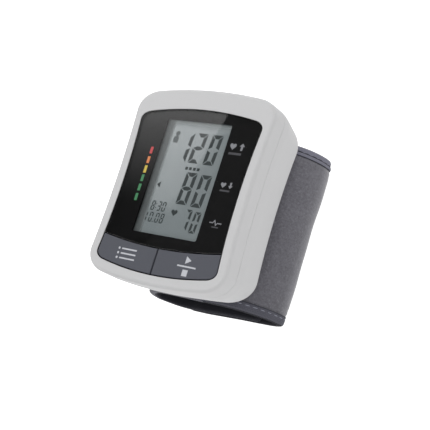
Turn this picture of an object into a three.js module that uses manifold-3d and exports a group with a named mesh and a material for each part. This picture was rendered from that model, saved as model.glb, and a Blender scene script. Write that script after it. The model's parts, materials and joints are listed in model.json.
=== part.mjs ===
// A wrist blood pressure monitor, lying face up on its closed cuff.
// Millimetres, +Z up out of the display, +Y along the wrist, the origin on the ground under the middle.
import * as THREE from "three";
import { mergeVertices } from "three/addons/utils/BufferGeometryUtils.js";
import Module from "manifold-3d";

const wasm = await Module();
wasm.setup();

// Clearances
const gap = 0.3; // between rigid pieces that are seated on each other
const layerGap = 0.15; // between the sewn layers of the cuff
const faceGap = 0.1; // between flat faces that meet
const overrun = 1; // how far a cutting solid reaches past what it cuts

// Steps of round and curved stretches
const roundSteps = 16;
const bendSteps = 8;
const screwSteps = 10;
const outlineSteps = 5;
const edgeSteps = 3;
const tubeSides = 8;
const tubeSteps = 20;
const coilSides = 5;
const coilStepsPerTurn = 10;

// The closed cuff, seen along the wrist: a flat top and bottom joined by quarter ellipses
const loopWidth = 66.4;
const loopHeight = 28.5;
const loopTopFlat = 30;
const loopBottomFlat = 26;
const loopMiddle = 9.6; // height of the widest place
const cuffLength = 70; // along the wrist
const cuffMiddle = -2.9;
const hingeTurns = 5.5; // where the loose end leaves the fixed cuff, in quarter stretches round the loop
const fixedEndTurns = 4.28; // where the fixed cuff ends inside the loop
const flapEndTurns = 2.78; // where the loose end stops on the outside
const lapStartTurns = 2.2; // the fixed cuff dips inwards from here
const lapDoneTurns = 2.7; // and lies inside the loose end from here

// Layers of the cuff, from the outside inwards
const hemLeg = 0.4;
const hemWeb = 0.7;
const hemWidth = 3.8;
const outerCloth = 0.5;
const stiffener = 0.5;
const bladder = 0.8;
const innerCloth = 0.35;
const interlining = 0.35;
const hookPad = 0.45;
const hookPadLength = 24; // round the loop
const bladderMargin = 7; // between the bladder and the ends of the cuff

// Case outline, half sizes: waisted sides, arched ends
const waistDraw = 1.05; // how far the sides draw in at mid length
const endArch = 1.65; // how far the ends rise between the corners
const caseCorner = 9;
const leastCorner = 1;

// Case section
const caseWall = 2;
const backWall = 2.6;
const faceWall = 3.2;
const seamDepth = 6.8; // below the face
const faceRound = 1.4; // how far the face's edge draws in
const faceDrop = 1.7; // and over what depth
const backRound = 3;
const backRise = 6;
const faceBulge = 0.5; // how far the sides swell between the face and the widest place
const widestDepth = 10.7;
const sideTaper = 3.1; // how far the sides draw in between the widest place and the back
const endTaper = 2.7;
const lipThickness = 0.8;
const lipHeight = 1.2;

// Display panel recess, inside the rims of the face
const rimSide = 4.15;
const rimHigh = 8.7;
const rimLow = 4;
const panelWaistDraw = 1.5;
const panelArch = 2.85;
const panelCorner = 5;
const panelDepth = 1.7;
const panelGap = 0.25;
const panelSink = 0.1; // lens and buttons below the face
const lensThickness = 1.4;
const boundaryRise = 2.6; // how much higher the lens's lower edge meets the sides
const buttonGap = 0.4;

// Buttons and their switches
const buttonLength = 10.5; // on the centre line
const buttonThickness = 1;
const buttonTravel = 0.5;
const stemRadius = 2.5;
const stemDrop = 4.9; // below the lens's lower edge
const switchWidth = 6;
const switchHeight = 1.5;
const plungerRadius = 1.5;
const plungerSink = 0.7;

// Display
const glassFromSide = 12; // from the edges of the panel and the buttons
const glassFromHigh = 3.9;
const glassFromButtons = 3.7;
const glassThickness = 2.3;
const glassDepth = 2.3; // of its top below the face
const frameWall = 1.5;
const frameHeight = 2.8;
const windowGap = 0.5;
const stripWidth = 1.8;
const stripInset = 1.4; // of a strip connector from the end of the glass

// Main board
const boardThickness = 1.2;
const boardFromSide = 2.7; // from the inside of the case
const boardFromLow = 3.2;
const boardFromHigh = 6.4;
const glassToBoard = 1; // height of the strip connectors with their gaps
const chipSize = 10;
const chipHeight = 1;
const chipFromSide = 20.4; // from the edge of the board
const chipFromHigh = 36;
const sensorSize = 7;
const sensorHeight = 3;
const buzzerRadius = 4.5;
const buzzerHeight = 2.6;
const buzzerFromSide = 18.4;
const buzzerFromHigh = 8;

// Screws and their bosses
const caseScrewFromSide = 11.65; // from the outside of the case
const caseScrewFromEnd = 10.1;
const caseBossRadius = 3;
const frontBossRadius = 2.8;
const screwHeadRadius = 1.9;
const screwHeadHeight = 1.6;
const screwRadius = 1.1;
const screwSeat = 8.3; // of a case screw's head above the back
const bossMeeting = 12.4; // where the two bosses meet, above the back
const boardScrewFromSide = 4.1; // from the edges of the board
const boardScrewFromHigh = 10;
const boardScrewFromLow = 19.2;
const boardBossRadius = 2.2;
const boardHeadRadius = 1.7;
const boardHeadHeight = 1;
const boardShankRadius = 0.8;
const recessDepthShare = 0.5; // of a screw head
const recessLengthShare = 1.2; // of its radius
const recessWidthShare = 0.35;

// Batteries and their tray
const batteryRadius = 5.25;
const batteryBody = 43.7;
const nubRadius = 1.9;
const nubHeight = 0.8;
const trayFromSide = 6.2; // from the outside of the waist
const trayFromHigh = 15.4; // from the ends of the case
const trayFromLow = 13.8;
const trayWall = 1;
const contactThickness = 0.4;
const contactWidth = 8;
const coilRadius = 2.6;
const coilWire = 0.35;
const coilTurns = 2.5;
const coilLength = 3.8;

// Battery door, in the left wall
const doorFromLow = 2.1; // from the ends of the tray
const doorFromHigh = 3.5;
const doorBottom = 4.4; // above the back
const doorHeight = 9.6;
const tongueWidth = 4;
const tongueThickness = 1;
const tongueReach = 5.2; // from the outside of the waist
const tongueRoot = 1.2;
const tonguePlace = 14; // from the middle of the door

// Air pump, along the case
const pumpRadius = 7.5;
const pumpFromSide = 4.3; // of the pump's side from the outside of the waist
const pumpFromTray = 17.8;
const pumpBed = 0.5; // under the pump, above the floor of the case
const pumpHeadroom = 2.6; // between the pump and the board
const motorInset = 0.3; // of the motor's side from the pump's
const motorWall = 0.8;
const motorLow = 8.5;
const motorLength = 15;
const armatureInset = 0.8; // of the armature's side from the inside of the can
const armatureMargin = 1.2;
const shaftRadius = 0.75;
const crankRadius = 3.2;
const crankThickness = 3;
const crankPinRadius = 0.8;
const crankPinOffset = 2.1;
const crankPinLength = 2.2;
const pumpLength = 11.2;
const pumpWall = 1.2;
const pumpFloor = 1.5;
const diaphragmThickness = 1.3;
const diaphragmStubRadius = 0.9;
const diaphragmStub = 3.2;
const capLength = 5.2;
const saddleThickness = 2;
const saddleWidth = 10;
const saddleFromEnd = 3;

// Air passages
const nozzleRadius = 1.5;
const nozzleLength = 4;
const nozzleBore = 0.6;
const tubeBore = 1.8;
const tubeRadius = 2.4;
const tubeRunOut = 0.5; // straight run before the turn, past the end of the pump's nozzle
const manifoldFromTray = 10;
const manifoldY = -11.5;
const manifoldSize = 6;
const socketRadius = 1.9;
const nippleFlange = 4;
const nippleFlangeHeight = 0.6;
const nippleReach = 2; // into the manifold

// Release valve
const valveSize = 8;
const valveLength = 13;
const valvePlungerRadius = 1.6;
const valvePlungerDepth = 9.5;
const valveHeadRadius = 2.6;
const valveHeadHeight = 0.8;
const valveStroke = 1;
const valveSpringLength = 2.4;
const valveCoilRadius = 2.1;
const valveCoilWire = 0.25;
const valveCoilTurns = 3;

// Plate that hooks the cuff to the case
const plateWidth = 38;
const plateFromLow = 7.7; // its ends from the ends of the cuff
const plateFromHigh = 5.3;
const plateRecess = 1.2;
const plateCorner = 3;
const hookFromSide = 4; // of the hooks from the sides of the plate
const hookFromHigh = 0.5; // and from its ends
const hookFromLow = 1.6;
const hookWidth = 4;
const hookThickness = 0.9;
const hookBarb = 0.5;
const hookBarbHeight = 0.8;

// Heights that follow from the sizes above, from the back to the face
const caseBack = loopHeight + gap;
const caseFloor = caseBack + backWall;
const pumpHeight = caseFloor + pumpBed + pumpRadius;
const boardBottom = pumpHeight + pumpRadius + pumpHeadroom;
const boardTop = boardBottom + boardThickness;
const glassBottom = boardTop + glassToBoard;
const glassTop = glassBottom + glassThickness;
const caseFace = glassTop + glassDepth;
const caseDepth = caseFace - caseBack;
const caseCeiling = caseFace - faceWall;
const seamHeight = caseFace - seamDepth;
const motorRadius = pumpRadius - motorInset;
const armatureRadius = motorRadius - motorWall - armatureInset;
const batteryHeight = caseFloor + gap + batteryRadius;
const cuffLow = cuffMiddle - cuffLength / 2;
const cuffHigh = cuffMiddle + cuffLength / 2;
const plateLow = cuffLow + plateFromLow;
const plateHigh = cuffHigh - plateFromHigh;
const hookLow = plateLow + hookFromLow;
const hookHigh = plateHigh - hookFromHigh;

// Places across and along the case that follow from the sizes above
const cellLength = batteryBody + nubHeight;
const plateReach = contactThickness + faceGap;
const bayLength = cellLength + coilLength + 2 * plateReach + 3 * faceGap;
const trayLength = bayLength + 2 * trayWall;
const trayWidth = 4 * batteryRadius + 3 * gap + trayWall;
const caseApex = (trayFromHigh + trayLength + trayFromLow) / 2;
const caseWaist = (trayFromSide + trayWidth + pumpFromTray + 2 * pumpRadius + pumpFromSide) / 2;
const caseSide = caseWaist + waistDraw;
const trayHigh = caseApex - trayFromHigh;
const trayLow = trayFromLow - caseApex;
const trayLeft = trayFromSide - caseWaist;
const trayRight = trayLeft + trayWidth;
const doorLow = trayLow + doorFromLow;
const doorHigh = trayHigh - doorFromHigh;
const pumpX = caseWaist - pumpFromSide - pumpRadius;
const manifoldX = trayRight + manifoldFromTray;
const caseShoulder = caseApex - endArch;
const panelSide = caseSide - rimSide;
const panelWaist = panelSide - panelWaistDraw;
const panelApex = caseApex - (rimHigh + rimLow) / 2;
const panelShoulder = panelApex - panelArch;
const panelMiddle = (rimLow - rimHigh) / 2;
const boundaryMiddle = panelMiddle - panelApex + buttonLength; // lens's lower edge on the centre line
const stemPlace = panelSide / 2;
const glassWidth = 2 * (panelSide - glassFromSide);
const glassHigh = panelMiddle + panelApex - glassFromHigh;
const glassLow = boundaryMiddle + glassFromButtons;
const glassLength = glassHigh - glassLow;
const displayMiddle = (glassHigh + glassLow) / 2;
const boardWidth = 2 * (caseWaist - caseWall - boardFromSide);
const boardHigh = caseApex - caseWall - boardFromHigh;
const boardLow = boardFromLow + caseWall - caseApex;
const boardScrewX = boardWidth / 2 - boardScrewFromSide;
const boardScrewHigh = boardHigh - boardScrewFromHigh;
const boardScrewLow = boardLow + boardScrewFromLow;
const caseScrewX = caseSide - caseScrewFromSide;
const caseScrewY = caseApex - caseScrewFromEnd;
const chipX = chipFromSide - boardWidth / 2;
const chipY = boardHigh - chipFromHigh;
const buzzerX = boardWidth / 2 - buzzerFromSide;
const buzzerY = boardHigh - buzzerFromHigh;
const hookX = plateWidth / 2 - hookFromSide;

// Depths of the cuff's layers below its outer face
const outerClothAt = hemLeg + layerGap;
const stiffenerAt = outerClothAt + outerCloth + layerGap;
const bladderAt = stiffenerAt + stiffener + layerGap;
const innerClothAt = bladderAt + bladder + layerGap;
const cuffThickness = innerClothAt + innerCloth + layerGap + hemLeg;
const flapLiningAt = stiffenerAt + interlining + layerGap;
const flapThickness = flapLiningAt + innerCloth + layerGap + hemLeg;
const hookPadAt = flapThickness + layerGap;
const lapDepth = hookPadAt + hookPad + gap;

// Outline sizes of the case at a height: it swells below the face and tapers to the back
function caseSize(z) {
  const depth = caseFace - z;
  const above = Math.max(0, 1 - depth / widestDepth);
  const below = Math.max(0, (depth - widestDepth) / (caseDepth - widestDepth));
  const across = faceBulge * above * above + sideTaper * below;
  const along = faceBulge * above * above + endTaper * below;
  return {
    waist: caseWaist - across,
    side: caseSide - across,
    apex: caseApex - along,
    shoulder: caseShoulder - along,
    corner: caseCorner,
  };
}
const panelSize = {
  waist: panelWaist,
  side: panelSide,
  apex: panelApex,
  shoulder: panelShoulder,
  corner: panelCorner,
};

const materials = {
  shell: finish(0xc9cacb, 0.45),
  button: finish(0x5b5d66, 0.6),
  lens: finish(0x1b1b1c, 0.12),
  glass: finish(0x88928f, 0.3),
  darkPlastic: finish(0x2b2c2e, 0.6),
  whitePlastic: finish(0xe2e2de, 0.5),
  board: finish(0x2f6b45, 0.5),
  rubber: finish(0x3a3b3f, 0.8),
  tube: finish(0xd8d6cc, 0.6),
  steel: finish(0xb4b6b8, 0.3, 1),
  brass: finish(0xb89a55, 0.35, 1),
  batteryWrap: finish(0x6d7a86, 0.35),
  velour: finish(0x6a6a70, 0.95),
  lining: finish(0x35353b, 0.95),
  binding: finish(0x6b6c77, 0.9),
  foam: finish(0x4a4a50, 0.9),
  film: finish(0x8f9aa6, 0.4),
};

function finish(color, roughness, metalness = 0) {
  return new THREE.MeshStandardMaterial({ color, roughness, metalness });
}

// A closed geometry as a solid that can be joined and cut
function solid(geometry) {
  const bare = new THREE.BufferGeometry();
  bare.setAttribute("position", geometry.getAttribute("position"));
  bare.setIndex(geometry.index);
  const merged = mergeVertices(bare);
  return new wasm.Manifold(
    new wasm.Mesh({
      numProp: 3,
      vertProperties: merged.attributes.position.array,
      triVerts: new Uint32Array(merged.index.array),
    }),
  );
}

// A solid as a geometry with flat faces
function geometryOf(shape) {
  const made = shape.getMesh();
  const geometry = new THREE.BufferGeometry();
  geometry.setAttribute("position", new THREE.BufferAttribute(made.vertProperties, 3));
  geometry.setIndex(new THREE.BufferAttribute(made.triVerts, 1));
  const flat = geometry.toNonIndexed();
  flat.computeVertexNormals();
  return flat;
}

function add(group, name, shape, material, place = [0, 0, 0]) {
  const mesh = new THREE.Mesh(geometryOf(shape), material);
  mesh.name = name;
  mesh.position.set(...place);
  group.add(mesh);
}

function block([left, right], [front, back], [low, high]) {
  const geometry = new THREE.BoxGeometry(right - left, back - front, high - low);
  return solid(geometry.translate((left + right) / 2, (front + back) / 2, (low + high) / 2));
}

// A block given by its middle in x and y
function post(x, y, width, length, low, high) {
  return block([x - width / 2, x + width / 2], [y - length / 2, y + length / 2], [low, high]);
}

function prism(points, low, high) {
  const geometry = new THREE.ExtrudeGeometry(new THREE.Shape(points), {
    depth: high - low,
    bevelEnabled: false,
  });
  return solid(geometry.translate(0, 0, low));
}

// A round pin or cutter that stands upright
function upright(radius, low, high, x = 0, y = 0) {
  const geometry = new THREE.CylinderGeometry(radius, radius, high - low, roundSteps);
  geometry.rotateX(Math.PI / 2);
  return solid(geometry.translate(x, y, (low + high) / 2));
}

// A round pin or cutter that lies along the case
function lying(radius, from, to, x = 0, z = 0) {
  const geometry = new THREE.CylinderGeometry(radius, radius, to - from, roundSteps);
  return solid(geometry.translate(x, (from + to) / 2, z));
}

// A profile of [radius, place] pairs turned round the y axis
function turned(profile, steps = roundSteps) {
  const points = profile.map(([radius, place]) => new THREE.Vector2(radius, place));
  return solid(new THREE.LatheGeometry(points, steps));
}

// Rounded outline with waisted sides and arched ends, as points that run anticlockwise
function outline(size, inset, middle = 0) {
  const side = size.side - inset;
  const shoulder = size.shoulder - inset;
  const corner = Math.max(size.corner - inset, leastCorner);
  const sideEnd = new THREE.Vector2(side, shoulder - corner);
  const topEnd = new THREE.Vector2(side - corner, shoulder);
  const sidePull = new THREE.Vector2(2 * (size.waist - inset) - side, 0);
  const topPull = new THREE.Vector2(0, 2 * (size.apex - inset) - shoulder);
  const arcShare = 0.5523;
  const leave = sideEnd.clone().sub(sidePull).setLength(corner * arcShare).add(sideEnd);
  const arrive = topEnd.clone().sub(topPull).setLength(corner * arcShare).add(topEnd);
  const mirrorX = (p) => new THREE.Vector2(-p.x, p.y);
  const mirrorY = (p) => new THREE.Vector2(p.x, -p.y);
  const curves = [
    new THREE.QuadraticBezierCurve(mirrorY(sideEnd), sidePull, sideEnd),
    new THREE.CubicBezierCurve(sideEnd, leave, arrive, topEnd),
    new THREE.QuadraticBezierCurve(topEnd, topPull, mirrorX(topEnd)),
    new THREE.CubicBezierCurve(mirrorX(topEnd), mirrorX(arrive), mirrorX(leave), mirrorX(sideEnd)),
  ];
  const half = curves.flatMap((curve) => curve.getPoints(outlineSteps).slice(0, -1));
  const points = [...half, ...half.map((p) => p.clone().negate())];
  return points.map((p) => p.add(new THREE.Vector2(0, middle)));
}

// A closed skin through outlines at rising heights
function loft(rings) {
  const count = rings[0].points.length;
  const places = rings.flatMap(({ points, z }) => points.flatMap((p) => [p.x, p.y, z]));
  const faces = [];
  for (let ring = 0; ring + 1 < rings.length; ring++) {
    for (let k = 0; k < count; k++) {
      const a = ring * count + k;
      const b = ring * count + ((k + 1) % count);
      faces.push(a, b, b + count, a, b + count, a + count);
    }
  }
  const last = (rings.length - 1) * count;
  const foot = rings.length * count;
  places.push(0, 0, rings[0].z, 0, 0, rings.at(-1).z);
  for (let k = 0; k < count; k++) {
    const next = (k + 1) % count;
    faces.push(foot, next, k, foot + 1, last + k, last + next);
  }
  const geometry = new THREE.BufferGeometry();
  geometry.setAttribute("position", new THREE.Float32BufferAttribute(places, 3));
  geometry.setIndex(faces);
  return solid(geometry);
}

// A hollow or solid tube along a curve
function tubeAlong(path, radius, bore, steps, sides) {
  const section = new THREE.Shape();
  section.absarc(0, 0, radius, 0, Math.PI * 2);
  const ring = new THREE.Shape(section.getSpacedPoints(sides).slice(0, -1));
  if (bore > 0) {
    const hole = new THREE.Path();
    hole.absarc(0, 0, bore, 0, Math.PI * 2, true);
    ring.holes.push(new THREE.Path(hole.getSpacedPoints(sides).slice(0, -1)));
  }
  return solid(new THREE.ExtrudeGeometry(ring, { steps, extrudePath: path, bevelEnabled: false }));
}

// An open coil round the y axis, from zero to its length
class CoilCurve extends THREE.Curve {
  constructor(radius, wire, turns, length) {
    super();
    Object.assign(this, { radius, wire, turns, length });
  }
  getPoint(t, target = new THREE.Vector3()) {
    const angle = t * this.turns * Math.PI * 2;
    const rise = this.wire + t * (this.length - 2 * this.wire);
    return target.set(this.radius * Math.cos(angle), rise, this.radius * Math.sin(angle));
  }
}

function coil(radius, wire, turns, length) {
  const path = new CoilCurve(radius, wire, turns, length);
  return tubeAlong(path, wire, 0, Math.round(turns * coilStepsPerTurn), coilSides);
}

// The loop's outer face: even stretches are numbered round it, the flats and the four quarter bends
const topHalf = loopTopFlat / 2;
const bottomHalf = loopBottomFlat / 2;
const sideHalf = loopWidth / 2;
const topRise = loopHeight - loopMiddle;
const stretches = [
  { from: [topHalf, loopHeight], to: [-topHalf, loopHeight], normal: [0, 1] },
  { middle: -topHalf, across: sideHalf - topHalf, rise: topRise, start: Math.PI / 2 },
  { middle: -bottomHalf, across: sideHalf - bottomHalf, rise: loopMiddle, start: Math.PI },
  { from: [-bottomHalf, 0], to: [bottomHalf, 0], normal: [0, -1] },
  { middle: bottomHalf, across: sideHalf - bottomHalf, rise: loopMiddle, start: 1.5 * Math.PI },
  { middle: topHalf, across: sideHalf - topHalf, rise: topRise, start: 0 },
];

// A point of the loop that lies a depth below its outer face
function loopPoint(turn, depth) {
  const wrapped = ((turn % stretches.length) + stretches.length) % stretches.length;
  const stretch = stretches[Math.floor(wrapped)];
  const share = wrapped - Math.floor(wrapped);
  const face = new THREE.Vector2();
  const normal = new THREE.Vector2();
  if (stretch.normal) {
    face.fromArray(stretch.from).lerp(new THREE.Vector2().fromArray(stretch.to), share);
    normal.fromArray(stretch.normal);
  } else {
    const angle = stretch.start + (share * Math.PI) / 2;
    face.set(
      stretch.middle + stretch.across * Math.cos(angle),
      loopMiddle + stretch.rise * Math.sin(angle),
    );
    normal.set(Math.cos(angle) / stretch.across, Math.sin(angle) / stretch.rise).normalize();
  }
  return face.addScaledVector(normal, -depth);
}

// The turn that lies a distance further round the loop
function further(turn, distance) {
  const step = Math.sign(distance) / (bendSteps * bendSteps);
  let walked = 0;
  let at = turn;
  while (walked < Math.abs(distance)) {
    const length = loopPoint(at, 0).distanceTo(loopPoint(at + step, 0));
    const share = Math.min(1, (Math.abs(distance) - walked) / length);
    walked += length;
    at += step * share;
  }
  return at;
}

const noDip = () => 0;
// The fixed cuff moves inwards where the loose end lies over it
const lapDip = (turn) => lapDepth * THREE.MathUtils.smoothstep(turn, lapStartTurns, lapDoneTurns);

// A layer of the cuff between two turns, two depths and two places along the wrist
function layer([start, end], [outside, inside], [front, back], dip = noDip) {
  const turns = [start];
  for (let k = Math.floor(start * bendSteps) + 1; k / bendSteps < end; k++) {
    turns.push(k / bendSteps);
  }
  turns.push(end);
  const edge = (depth) => turns.map((turn) => loopPoint(turn, depth + dip(turn)));
  const points = [...edge(outside), ...edge(inside).reverse()];
  const geometry = new THREE.ExtrudeGeometry(new THREE.Shape(points), {
    depth: back - front,
    bevelEnabled: false,
  });
  geometry.rotateX(Math.PI / 2);
  return solid(geometry.translate(0, back, 0));
}

const turnsRound = stretches.length;
const fixedStart = further(hingeTurns, gap / 2) - turnsRound;
const flapStart = further(hingeTurns, -gap / 2);
const wrist = [cuffLow, cuffHigh];
const inner = (margin) => [cuffLow + margin, cuffHigh - margin];

// Binding sewn round three edges of a wrap: a slab, less the channel for the layers, less the window
function binding(start, end, thickness, dip) {
  const away = Math.sign(end - start);
  const past = further(start, -away * overrun);
  const span = (margin) => [past, further(end, -away * margin)].sort((a, b) => a - b);
  const whole = layer([start, end].sort((a, b) => a - b), [0, thickness], wrist, dip);
  const channel = layer(span(hemWeb), [hemLeg, thickness - hemLeg], inner(hemWeb), dip);
  const window = layer(span(hemWidth), [-overrun, thickness + overrun], inner(hemWidth), dip);
  return whole.subtract(channel).subtract(window);
}

// A layer held in the channel of the binding
function sewnLayer(start, end, at, thickness, dip, margin = hemWeb + layerGap) {
  const away = Math.sign(end - start);
  const span = [start, further(end, -away * margin)].sort((a, b) => a - b);
  return layer(span, [at, at + thickness], inner(margin), dip);
}

function fixedCuff() {
  const group = new THREE.Group();
  const sewn = (at, thickness, margin) =>
    sewnLayer(fixedStart, fixedEndTurns, at, thickness, lapDip, margin);
  const hole = (radius) =>
    upright(radius, loopHeight - cuffThickness, loopHeight + overrun, manifoldX, manifoldY);
  const bladderSpan = [further(fixedStart, bladderMargin), further(fixedEndTurns, -bladderMargin)];
  const bladderDepths = [bladderAt, bladderAt + bladder];
  const cloth = sewn(outerClothAt, outerCloth).subtract(hole(nozzleRadius + gap));
  const sheet = sewn(stiffenerAt, stiffener).subtract(hole(nippleFlange + gap));
  const air = layer(bladderSpan, bladderDepths, inner(bladderMargin), lapDip);
  add(group, "cuff_binding", binding(fixedStart, fixedEndTurns, cuffThickness, lapDip), materials.binding);
  add(group, "cuff_outer_cloth", cloth, materials.velour);
  add(group, "cuff_stiffener", sheet, materials.film);
  add(group, "air_bladder", air, materials.rubber);
  add(group, "cuff_inner_cloth", sewn(innerClothAt, innerCloth), materials.lining);
  return group;
}

function cuffFlap() {
  const group = new THREE.Group();
  const sewn = (at, thickness) => sewnLayer(flapStart, flapEndTurns, at, thickness, noDip);
  const padStart = further(flapEndTurns, hemWidth);
  const padSpan = [padStart, further(padStart, hookPadLength)];
  const pad = layer(padSpan, [hookPadAt, hookPadAt + hookPad], inner(hemWidth));
  add(group, "flap_binding", binding(flapStart, flapEndTurns, flapThickness, noDip), materials.binding);
  add(group, "flap_outer_cloth", sewn(outerClothAt, outerCloth), materials.velour);
  add(group, "flap_interlining", sewn(stiffenerAt, interlining), materials.foam);
  add(group, "flap_inner_cloth", sewn(flapLiningAt, innerCloth), materials.lining);
  add(group, "hook_pad", pad, materials.darkPlastic);
  return group;
}

const caseRing = (inset, z) => ({ points: outline(caseSize(z), inset), z });
const widestHeight = caseFace - widestDepth;

// Rings of a rounded edge that draws in towards a flat end
function roundedEdge(flat, rise, draw, inset) {
  const rings = [];
  for (let k = 0; k <= edgeSteps; k++) {
    const angle = ((k / edgeSteps) * Math.PI) / 2;
    rings.push(caseRing(inset + draw * (1 - Math.sin(angle)), flat + rise * (1 - Math.cos(angle))));
  }
  return rings;
}

const corners = [
  [-1, -1],
  [1, -1],
  [-1, 1],
  [1, 1],
];

function seamRing(outer, inside, low, high) {
  const size = caseSize(seamHeight);
  return prism(outline(size, outer), low, high).subtract(
    prism(outline(size, inside), low - overrun, high + overrun),
  );
}

function rearShell() {
  const outside = roundedEdge(caseBack, backRise, backRound, 0);
  const inside = roundedEdge(caseFloor, backRise - backWall, backRound - caseWall, caseWall);
  const skin = loft([...outside, caseRing(0, widestHeight), caseRing(0, seamHeight - gap / 2)]);
  const top = [caseRing(caseWall, widestHeight), caseRing(caseWall, seamHeight + overrun)];
  return skin.subtract(loft([...inside, ...top]));
}

function doorSpace(clearance) {
  const bottom = caseBack + doorBottom;
  return block(
    [-caseSide - overrun, -caseWaist + tongueReach],
    [doorLow + clearance, doorHigh - clearance],
    [bottom + clearance, bottom + doorHeight - clearance],
  );
}

function hookSlots() {
  return corners.map(([sideways, lengthways]) =>
    post(
      sideways * hookX,
      lengthways > 0 ? hookHigh : hookLow,
      hookWidth + 2 * gap,
      hookThickness + 2 * hookBarb + gap,
      caseBack - overrun,
      caseFloor + overrun,
    ),
  );
}

function rearCover() {
  let cover = rearShell().subtract(doorSpace(0));
  const lipLow = seamHeight - gap / 2 - lipHeight;
  const lip = seamRing(caseWall - lipThickness, caseWall, lipLow, seamHeight + lipHeight);
  cover = cover.add(lip);
  for (const [sideways, lengthways] of corners) {
    const at = [sideways * caseScrewX, lengthways * caseScrewY];
    const seat = caseBack + screwSeat;
    cover = cover
      .add(upright(caseBossRadius, caseFloor - gap, caseBack + bossMeeting - gap, ...at))
      .subtract(upright(screwHeadRadius + gap, caseBack - overrun, seat, ...at))
      .subtract(upright(screwRadius + gap, seat - gap, caseBack + bossMeeting, ...at));
  }
  const motorHigh = motorLow + motorLength;
  for (const place of [motorLow + saddleFromEnd, motorHigh - saddleFromEnd]) {
    const ribTop = pumpHeight - motorRadius / 2;
    const rib = post(pumpX, place, saddleWidth, saddleThickness, caseFloor - gap, ribTop);
    const bed = lying(motorRadius + gap, motorLow, motorHigh, pumpX, pumpHeight);
    cover = cover.add(rib.subtract(bed));
  }
  const plateSeat = platePrism(gap, caseBack - overrun, caseBack + plateRecess);
  cover = cover.subtract(plateSeat);
  cover = cover.subtract(upright(nozzleRadius + gap, caseBack, caseFloor + overrun, manifoldX, manifoldY));
  for (const slot of hookSlots()) {
    cover = cover.subtract(slot);
  }
  return cover;
}

function batteryDoor() {
  let door = rearShell().intersect(doorSpace(gap));
  const middle = (doorLow + doorHigh) / 2;
  const height = caseBack + doorBottom + doorHeight / 2;
  for (const side of [-1, 1]) {
    const place = middle + side * tonguePlace;
    door = door.add(
      block(
        [-caseWaist + tongueRoot, -caseWaist + tongueReach - gap],
        [place - tongueWidth / 2, place + tongueWidth / 2],
        [height - tongueThickness / 2, height + tongueThickness / 2],
      ),
    );
  }
  return door;
}

const windowWidth = glassWidth + 2 * (frameWall + windowGap);
const windowLength = glassLength + 2 * (frameWall + windowGap);
const recessFloor = caseFace - panelDepth;
const stemY = boundaryMiddle - stemDrop;
const boardScrews = [
  [-boardScrewX, boardScrewLow],
  [boardScrewX, boardScrewLow],
  [-boardScrewX, boardScrewHigh],
  [boardScrewX, boardScrewHigh],
];

function frontCover() {
  const edge = roundedEdge(caseFace, -faceDrop, faceRound, 0).reverse();
  let cover = loft([caseRing(0, seamHeight + gap / 2), ...edge]);
  cover = cover.subtract(prism(outline(caseSize(caseCeiling), caseWall), seamHeight, caseCeiling));
  const lipTop = seamHeight + lipHeight + gap;
  cover = cover.subtract(seamRing(caseWall - lipThickness - gap, caseWall + gap, seamHeight, lipTop));
  const recess = prism(outline(panelSize, 0, panelMiddle), recessFloor, caseFace + overrun);
  const window = post(0, displayMiddle, windowWidth, windowLength, caseCeiling - overrun, caseFace);
  cover = cover.subtract(recess).subtract(window);
  for (const side of [-1, 1]) {
    const hole = upright(stemRadius + gap, caseCeiling - overrun, caseFace, side * stemPlace, stemY);
    cover = cover.subtract(hole);
  }
  const boss = (radius, pilot, low, at) =>
    upright(radius, low, caseCeiling + gap, ...at).subtract(
      upright(pilot + gap, low - overrun, caseCeiling - gap, ...at),
    );
  for (const [sideways, lengthways] of corners) {
    const at = [sideways * caseScrewX, lengthways * caseScrewY];
    cover = cover.add(boss(frontBossRadius, screwRadius, caseBack + bossMeeting, at));
  }
  for (const at of boardScrews) {
    cover = cover.add(boss(boardBossRadius, boardShankRadius, boardTop + faceGap, at));
  }
  return cover;
}

// The part of the panel above or below the lens's lower edge, moved by a clearance
function panelSlab(side, clearance, low, high) {
  const rim = panelSide + overrun;
  const start = new THREE.Vector2(-rim, boundaryMiddle + boundaryRise + clearance);
  const pull = new THREE.Vector2(0, boundaryMiddle - boundaryRise + clearance);
  const end = new THREE.Vector2(rim, start.y);
  const edge = new THREE.QuadraticBezierCurve(start, pull, end).getPoints(2 * outlineSteps);
  const far = panelMiddle + side * (panelApex + overrun);
  const rest = [new THREE.Vector2(rim, far), new THREE.Vector2(-rim, far)];
  const points = [...edge, ...rest];
  return prism(side > 0 ? points : points.reverse(), low, high);
}

const panelTop = caseFace - panelSink;
const panelOutline = outline(panelSize, panelGap, panelMiddle);

function displayLens() {
  const plate = prism(panelOutline, panelTop - lensThickness, panelTop);
  return plate.intersect(panelSlab(1, buttonGap / 2, recessFloor, caseFace));
}

const plungerTop = boardTop + switchHeight + plungerSink;

function button(side) {
  const low = panelTop - buttonThickness;
  const cap = prism(panelOutline, low, panelTop).intersect(
    panelSlab(-1, -buttonGap / 2, recessFloor, caseFace),
  );
  const half = [side * (buttonGap / 2), side * (panelSide + overrun)].sort((a, b) => a - b);
  const reach = [panelMiddle - panelApex - overrun, 0];
  const stem = upright(stemRadius, plungerTop + faceGap, low + faceGap, side * stemPlace, stemY);
  return cap.intersect(block(half, reach, [recessFloor, caseFace])).add(stem);
}

function switchBody() {
  const body = post(0, 0, switchWidth, switchWidth, faceGap, switchHeight);
  const wellFloor = switchHeight - plungerSink - buttonTravel;
  return body.subtract(upright(plungerRadius + gap, wellFloor, switchHeight + overrun));
}

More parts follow.
